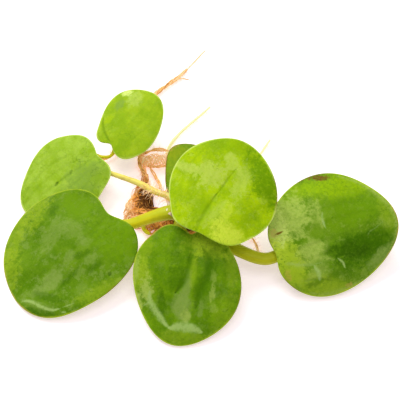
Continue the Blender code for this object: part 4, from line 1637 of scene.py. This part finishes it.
def mound_height(x, y):
    """Height of the mound over a place: round across its middle line, raised near the crown."""
    axis = smooth_line(TUFT_ROUTE, TUFT_STEPS)
    far = np.hypot(x[..., None] - axis[:, 0], y[..., None] - axis[:, 1]).min(-1)
    round_off = np.sqrt(np.maximum(0, 1 - (far / TUFT_HALF_WIDTH) ** 2))
    return mound_top(np.hypot(x, y)) * round_off


def tuft_tone(x, y):
    """Dark at the heart beside the crown, light at the outer left."""
    heart = bell(np.hypot(x - TUFT_HEART[0], y - TUFT_HEART[1]), TUFT_HEART_REACH)
    light = TUFT_TONE + TUFT_TONE_RISE * smooth_step(-x, *TUFT_TONE_EDGE)
    return np.clip(light - TUFT_TONE_HEART * heart, 0, 1)


def tuft_core():
    """The shaded heart: the mound itself, drawn in towards its right side, flat on the surface."""
    share = np.linspace(*CORE_ENDS, CORE_ROWS)[:, None]
    share, turn = np.broadcast_arrays(share, around(CORE_COLUMNS)[None])
    axis = on_mound(share, turn * 0 + np.pi / 2) * (1, 1, 0)
    round_it, lean, along = CORE_LUMPS
    lumps = np.cos(round_it * turn + lean * share) * np.cos(along * share)
    size = CORE_SHARE * (1 + CORE_LUMP_DEPTH * lumps)
    points = axis + (on_mound(share, turn) - axis) * size[..., None]
    points[..., 0] += CORE_SHIFT * smooth_step(share, *CORE_SHIFT_START)
    points[..., 2] = np.maximum(points[..., 2], FLOOR_GAP)
    ends = [np.broadcast_to(points[i].mean(0), (1, *points.shape[1:])) for i in (0, -1)]
    points = np.concatenate([ends[0], points, ends[1]])[None, :, ::-1]
    return marked(points, 0.1, 0.0)


def held_left(x, y):
    """Draws places beyond the heart's right edge, a line that leans to the left, back to it."""
    past = np.maximum(0, x - TUFT_EDGE[0] + TUFT_EDGE_LEAN * (y - TUFT_EDGE[1]))
    return x - TUFT_EDGE_PULL * past * smooth_step(y - TUFT_EDGE[1], *TUFT_EDGE_FADE)


def tuft_strands(count, width, rows, columns, seed, wander):
    """Strands over the mound: half fan out from the crown's foot, half hang from its far end."""
    chance = np.random.default_rng(seed)
    t = np.linspace(0, 1, rows)[None, :, None]
    brim = smooth_line(TUFT_BRIM, BRIM_STEPS)
    fan = chance.uniform(0, 1, (count, 1, 1)) < 0.5
    from_crown = np.array(CROWN_START) + chance.normal(0, 1, (count, 1, 2)) * CROWN_SCATTER
    from_far = np.array(FAR_START) + chance.normal(0, 1, (count, 1, 2)) * FAR_SCATTER
    start = np.where(fan, from_crown, from_far)
    crown_ends = chance.uniform(0, CROWN_BRIM_SHARE, count)
    far_ends = chance.uniform(0, FAR_BRIM_SHARE, count)
    reached = np.where(fan[:, 0, 0], crown_ends, far_ends)
    end = brim[(reached * (BRIM_STEPS - 1)).astype(int)][:, None]
    pull = chance.uniform(0, HEART_PULL, (count, 1, 1)) ** HEART_PULL_POWER
    end = end + (np.array(TUFT_HEART) - end) * pull
    bow = chance.normal(0, STRAND_BOW, (count, 1, 2))
    plan = start + (end - start) * t + bow * np.sin(np.pi * t)
    stray = [ripples(plan[..., 0], plan[..., 1], seed + i, *STRAND_WAVES) for i in (1, 2)]
    plan = plan + wander * np.stack(stray, -1)
    x, y = held_left(plan[..., 0], plan[..., 1]), plan[..., 1]
    t = t[..., 0]
    level = chance.uniform(*STRAND_LEVELS, (count, 1))
    sway = 2 * np.pi * (t * STRAND_SWAYS + chance.uniform(0, 1, (count, 1)))
    level = level + STRAND_SWAY * np.sin(sway)
    radii = width / 2 * chance.uniform(*STRAND_WIDTHS, (count, 1))
    radii = radii * (STRAND_FOOT - STRAND_THINNING * t**2)
    z = np.maximum(mound_height(x, y) * np.clip(level, 0.1, 1.0), radii + FLOOR_GAP)
    points = tubes(np.stack([x, y, z], -1), radii, columns)
    tone = tuft_tone(x, y)[:, [0, *range(rows), -1], None]
    return marked(points, chance.uniform(0, 1, count), tone)


def hair_tubes(chance, foot, middle, tip, rows, width, tip_share, lowest):
    """Thin four-sided tubes through three places each, held above the surface."""
    places = np.stack([foot, middle, tip], 1)
    places[..., 2] = np.maximum(places[..., 2], lowest)
    thinning = np.linspace(1, tip_share, rows)[None]
    radii = width / 2 * thinning * chance.uniform(*HAIR_WIDTHS, (len(foot), 1))
    return tubes(smooth_lines(places, rows), radii, HAIR_SIDES)


def tuft_wisps(count, width, seed):
    """Loose hairs of the mound: out from its heart, astray and down by shares of their reach."""
    chance = np.random.default_rng(seed)
    brim = smooth_line(TUFT_BRIM, BRIM_STEPS)
    at = (chance.uniform(0, WISP_BRIM_SHARE, count) * (BRIM_STEPS - 1)).astype(int)
    heart = np.array(TUFT_HEART)
    plan = brim[at] + (heart - brim[at]) * chance.uniform(*WISP_DEPTHS, (count, 1))
    height = WISP_FOOT * mound_height(plan[:, 0], plan[:, 1])
    foot = np.concatenate([plan, height[:, None]], 1)
    outward = unit(np.concatenate([plan - heart, np.full((count, 1), WISP_RISE)], 1))
    stray = unit(chance.normal(0, 1, (count, 3)) * WISP_STRAY)
    reach = chance.uniform(*WISP_REACH, (count, 1))
    middle, tip = (
        foot + outward * reach * out + stray * reach * aside - UPRIGHT * reach * down
        for out, aside, down in (WISP_MIDDLE, WISP_END)
    )
    points = hair_tubes(chance, foot, middle, tip, WISP_ROWS, width, WISP_TIP, WISP_LOWEST)
    tone = np.clip(tuft_tone(plan[:, 0], plan[:, 1]) + WISP_TONE_RISE, 0, 1)
    return marked(points, chance.uniform(0, 1, count), tone.reshape(-1, 1, 1))


def root_bundle(bundle):
    """Strands wound loosely round one route: each turns about it at its own distance."""
    chance = np.random.default_rng(bundle.seed)
    rows, one_each = bundle.rows, (bundle.strands, 1)
    line = smooth_line(bundle.route, rows)[None]
    side, up = line_axes(line)[1:]
    t = np.linspace(0, 1, rows)[None]
    thinning = 1 - bundle.taper * t
    winds = chance.uniform(*BUNDLE_TURNS, one_each)
    phase = 2 * np.pi * (winds * t + chance.uniform(0, 1, one_each))
    off = bundle.spread * chance.uniform(*BUNDLE_OFFSETS, one_each) * thinning
    lines = line + side * (off * np.cos(phase))[..., None]
    lines = lines + up * (off * np.sin(phase) * BUNDLE_FLATNESS)[..., None]
    knots = 2 * np.pi * (KNOTS * t + chance.uniform(0, 1, one_each))
    thinning = thinning * (1 + KNOT_DEPTH * np.sin(knots))
    radii = bundle.width / 2 * chance.uniform(*BUNDLE_WIDTHS, one_each) * thinning
    lines[..., 2] = np.maximum(lines[..., 2], radii + FLOOR_GAP)
    shades = chance.uniform(0, 1, bundle.strands)
    points = tubes(lines, radii, BUNDLE_COLUMNS)
    return marked(points, shades, tones_along(bundle.tones, rows))


def side_hairs(route, hairs, width, span=(0.02, 0.98)):
    """Fine hairs off a line, straight out and then bent, thinning to their tips."""
    count = hairs.count
    chance = np.random.default_rng(hairs.seed)
    line = smooth_line(route, SIDE_HAIR_STEPS)
    at = (np.sort(chance.uniform(*span, count)) * (len(line) - 1)).astype(int)
    foot = line[at]
    way, side, up = (axes[at] for axes in line_axes(line))
    angle = chance.uniform(0, 2 * np.pi, (count, 1))
    out = side * np.cos(angle) + up * np.sin(angle)
    lean = chance.uniform(-SIDE_HAIR_LEAN, SIDE_HAIR_LEAN, (count, 1))
    out = unit(out + way * lean + UPRIGHT * SIDE_HAIR_RISE)
    reach = chance.uniform(hairs.reach * SIDE_HAIR_SHORTEST, hairs.reach, (count, 1))
    bend = unit(chance.normal(0, 1, (count, 3)))
    places = foot, foot + out * reach * 0.5, foot + out * reach + bend * reach * SIDE_HAIR_BEND
    points = hair_tubes(chance, *places, SIDE_HAIR_ROWS, width, SIDE_HAIR_TIP, width)
    tones = np.clip(hairs.tone + chance.normal(0, SIDE_HAIR_TONES, count), 0, 1)
    return marked(points, chance.uniform(0, 1, count), tones.reshape(-1, 1, 1))


def single_root(route, start, end, tones, rows=90, columns=10):
    """One tapering root with faint knots along it."""
    t = np.linspace(0, 1, rows)[None]
    radii = (start + (end - start) * t) / 2 * uneven(t, *ROOT_KNOTS)
    points = tubes(smooth_line(route, rows)[None], radii, columns)
    return marked(points, 0.5, tones_along(tones, rows))


def build_blades(context, names):
    """Each blade in place of its solid."""
    scene = context.scene
    for name in names:
        seed = FIRST_SEED + SEED_STEP * list(BLADES).index(name)
        shape = blade_shape(name, seed, scene.frogbit_blades)
        material = blade_material(name, scene.frogbit_colours)
        add_piece(f"{name}_blade", [shape], material, name)


class FROGBIT_OT_leaves(bpy.types.Operator):
    """Build the five blades of the rosette"""

    bl_idname = "frogbit.leaves"
    bl_label = "Leaves"

    def execute(self, context):
        build_blades(context, [name for name in BLADES if not name.startswith("plantlet")])
        return {"FINISHED"}


class FROGBIT_OT_plantlet_leaves(bpy.types.Operator):
    """Build the two blades of the plantlet"""

    bl_idname = "frogbit.plantlet_leaves"
    bl_label = "Plantlet leaves"

    def execute(self, context):
        build_blades(context, [name for name in BLADES if name.startswith("plantlet")])
        return {"FINISHED"}


class FROGBIT_OT_stalks(bpy.types.Operator):
    """Build the leaf stalks and the keels that they run on in"""

    bl_idname = "frogbit.stalks"
    bl_label = "Stalks"

    def execute(self, context):
        colours = context.scene.frogbit_colours
        olive, yellow = (stalk_material(f"{tone} stalks", colours) for tone in ("olive", "yellow"))
        for name in STALKS:
            node = name.replace("leaf", "stalk")
            material = yellow if name in YELLOW_STALKS else olive
            shape = stalk_shape(name, context.scene.frogbit_blades.keel)
            add_piece(f"{node}_tube", [shape], material, node)
        return {"FINISHED"}


class FROGBIT_OT_crowns(bpy.types.Operator):
    """Build the two crowns, the papery scales at the stalk bases and the old stub"""

    bl_idname = "frogbit.crowns"
    bl_label = "Crowns"

    def execute(self, context):
        colours = context.scene.frogbit_colours
        material = strand_material("crowns", colours)
        for name in CROWNS:
            add_piece(f"{name}_stem", [crown_shape(name)], material, name)
        papery = strand_material("papery scales", colours)
        add_piece("papery_scales", [scales_shape()], papery, None)
        withered = strand_material("withered stalk", colours)
        stub = single_root(OLD_STUB, *OLD_STUB_WIDTHS, OLD_STUB_TONES, rows=24, columns=14)
        add_piece("old_stubs", [stub], withered, None)
        return {"FINISHED"}


class FROGBIT_OT_stolon(bpy.types.Operator):
    """Build the runner between the crowns and the bristles at its crown end"""

    bl_idname = "frogbit.stolon"
    bl_label = "Stolon"

    def execute(self, context):
        colours, roots = context.scene.frogbit_colours, context.scene.frogbit_roots
        material = stalk_material("stolon", colours)
        add_piece("stolon_runner", [stolon_shape()], material, "stolon")
        hairy = strand_material("bristles", colours)
        width = BRISTLE_SHARE * roots.hair_width / MM
        hairs = Hairs(count=roots.bristles, reach=2.2, seed=21, tone=0.7)
        bristles = side_hairs(STOLON_ROUTE, hairs, width, STOLON_BRISTLES)
        add_piece("stolon_bristles", [bristles], hairy, None)
        return {"FINISHED"}


class FROGBIT_OT_tuft(bpy.types.Operator):
    """Build the root tuft: its dark heart, its strands and its loose hairs"""

    bl_idname = "frogbit.tuft"
    bl_label = "Root tuft"

    def execute(self, context):
        colours, roots = context.scene.frogbit_colours, context.scene.frogbit_roots
        material = strand_material("tuft", colours)
        shapes = [
            tuft_core(),
            tuft_strands(
                roots.thick_strands, roots.thick_width / MM, rows=30, columns=8, seed=31,
                wander=0.12,
            ),
            tuft_strands(
                roots.strands, roots.strand_width / MM, rows=22, columns=6, seed=32, wander=0.22,
            ),
            tuft_wisps(roots.hairs, roots.hair_width / MM, seed=33),
            root_bundle(CROWN_FOOT),
        ]
        add_piece("root_tuft_strands", shapes, material, "root_tuft")
        return {"FINISHED"}


class FROGBIT_OT_roots(bpy.types.Operator):
    """Build the single roots that reach out of the tuft and the plantlet"""

    bl_idname = "frogbit.roots"
    bl_label = "Single roots"

    def execute(self, context):
        colours = context.scene.frogbit_colours
        hair = context.scene.frogbit_roots.hair_width / MM * ROOT_HAIR_SHARE
        pale = strand_material("pale roots", colours)
        orange = strand_material("orange roots", colours)
        for name in ("root_back", "root_far_right"):
            route = ROOT_ROUTES[name]
            shapes = [
                single_root(route, *PALE_ROOT_WIDTHS, PALE_ROOT_TONES),
                side_hairs(route, ROOT_HAIRS[name], hair),
            ]
            add_piece(f"{name}_strand", shapes, pale, name)
        for name, bundles in ROOT_BUNDLES.items():
            shapes = [root_bundle(bundle) for bundle in bundles]
            shapes.append(side_hairs(ROOT_ROUTES[name], ROOT_HAIRS[name], hair))
            add_piece(f"{name}_strands", shapes, orange, name)
        return {"FINISHED"}


class FROGBIT_OT_stage(bpy.types.Operator):
    """Lay the pale floor and set the lights and the camera"""

    bl_idname = "frogbit.stage"
    bl_label = "Stage"

    def execute(self, context):
        stage = context.scene.frogbit_stage
        floor = bpy.data.objects.new("floor", bpy.data.meshes.new("floor"))
        ways = ((-1, -1), (1, -1), (1, 1), (-1, 1))
        places = [(x * FLOOR_REACH, y * FLOOR_REACH, 0) for x, y in ways]
        floor.data.from_pydata(places, [], [(0, 1, 2, 3)])
        material, tree, shader = new_material("floor", roughness=0.6, specular=0.1)
        paper = mixed(tree, grain(tree, object_place(tree), 60.0), *FLOOR_SHADES)
        tree.links.new(paper, shader.inputs["Base Color"])
        shader.inputs["Emission Color"].default_value = (*stage.floor_tint, 1)
        shader.inputs["Emission Strength"].default_value = stage.floor_glow
        floor.data.materials.append(material)
        context.scene.collection.objects.link(floor)
        self.light(context, "key", KEY_PLACE, stage.key_power)
        self.light(context, "overhead", FILL_PLACE, stage.fill_power)
        world = bpy.data.worlds.new("surround")
        world.use_nodes = True
        back = world.node_tree.nodes["Background"]
        back.inputs["Color"].default_value = (1, 1, 1, 1)
        back.inputs["Strength"].default_value = stage.sky
        context.scene.world = world
        self.camera(context, stage)
        context.scene.view_settings.view_transform = "Standard"
        return {"FINISHED"}

    def light(self, context, name, place, power):
        """A square soft light that faces the plant."""
        data = bpy.data.lights.new(name, "AREA")
        data.size = LIGHT_SIZE
        data.energy = power
        obj = bpy.data.objects.new(name, data)
        obj.location = place
        obj.rotation_euler = (-Vector(place)).to_track_quat("-Z", "Y").to_euler()
        context.scene.collection.objects.link(obj)

    def camera(self, context, stage):
        """A long lens that looks down at the plant from the front."""
        data = bpy.data.cameras.new("camera")
        data.lens = 100
        data.sensor_width = 36
        data.clip_start = 0.01
        obj = bpy.data.objects.new("camera", data)
        back = Vector((0, -math.cos(stage.elevation), math.sin(stage.elevation)))
        obj.location = Vector(VIEW_MIDDLE) + back * stage.distance
        obj.rotation_euler = (math.pi / 2 - stage.elevation, 0, 0)
        context.scene.collection.objects.link(obj)
        context.scene.camera = obj


OPERATORS = (
    FROGBIT_OT_leaves, FROGBIT_OT_plantlet_leaves, FROGBIT_OT_stalks, FROGBIT_OT_crowns,
    FROGBIT_OT_stolon, FROGBIT_OT_tuft, FROGBIT_OT_roots, FROGBIT_OT_stage,
)


class FROGBIT_PT_panel(bpy.types.Panel):
    """Lists the builders and their settings"""

    bl_idname = "FROGBIT_PT_panel"
    bl_label = "Amazon Frogbit"
    bl_space_type = "VIEW_3D"
    bl_region_type = "UI"
    bl_category = "Frogbit"

    def draw(self, context):
        for operator in OPERATORS:
            self.layout.operator(operator.bl_idname)
        for label in SETTINGS:
            group = getattr(context.scene, label)
            for name in group.bl_rna.properties.keys():
                if name not in {"rna_type", "name"}:
                    self.layout.prop(group, name)


SETTINGS = {
    "frogbit_colours": FrogbitColours,
    "frogbit_blades": FrogbitBlades,
    "frogbit_roots": FrogbitRoots,
    "frogbit_stage": FrogbitStage,
}


def register():
    for group in SETTINGS.values():
        bpy.utils.register_class(group)
    for label, group in SETTINGS.items():
        setattr(bpy.types.Scene, label, PointerProperty(type=group))
    for operator in OPERATORS:
        bpy.utils.register_class(operator)
    bpy.utils.register_class(FROGBIT_PT_panel)


def unregister():
    bpy.utils.unregister_class(FROGBIT_PT_panel)
    for operator in reversed(OPERATORS):
        bpy.utils.unregister_class(operator)
    for label in SETTINGS:
        delattr(bpy.types.Scene, label)
    for group in reversed(SETTINGS.values()):
        bpy.utils.unregister_class(group)


def write_sizes():
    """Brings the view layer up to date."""
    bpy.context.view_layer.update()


def main():
    register()
    bpy.ops.frogbit.leaves()
    bpy.ops.frogbit.plantlet_leaves()
    bpy.ops.frogbit.stalks()
    bpy.ops.frogbit.crowns()
    bpy.ops.frogbit.stolon()
    bpy.ops.frogbit.tuft()
    bpy.ops.frogbit.roots()
    bpy.ops.frogbit.stage()
    write_sizes()


if __name__ == "__main__":
    main()
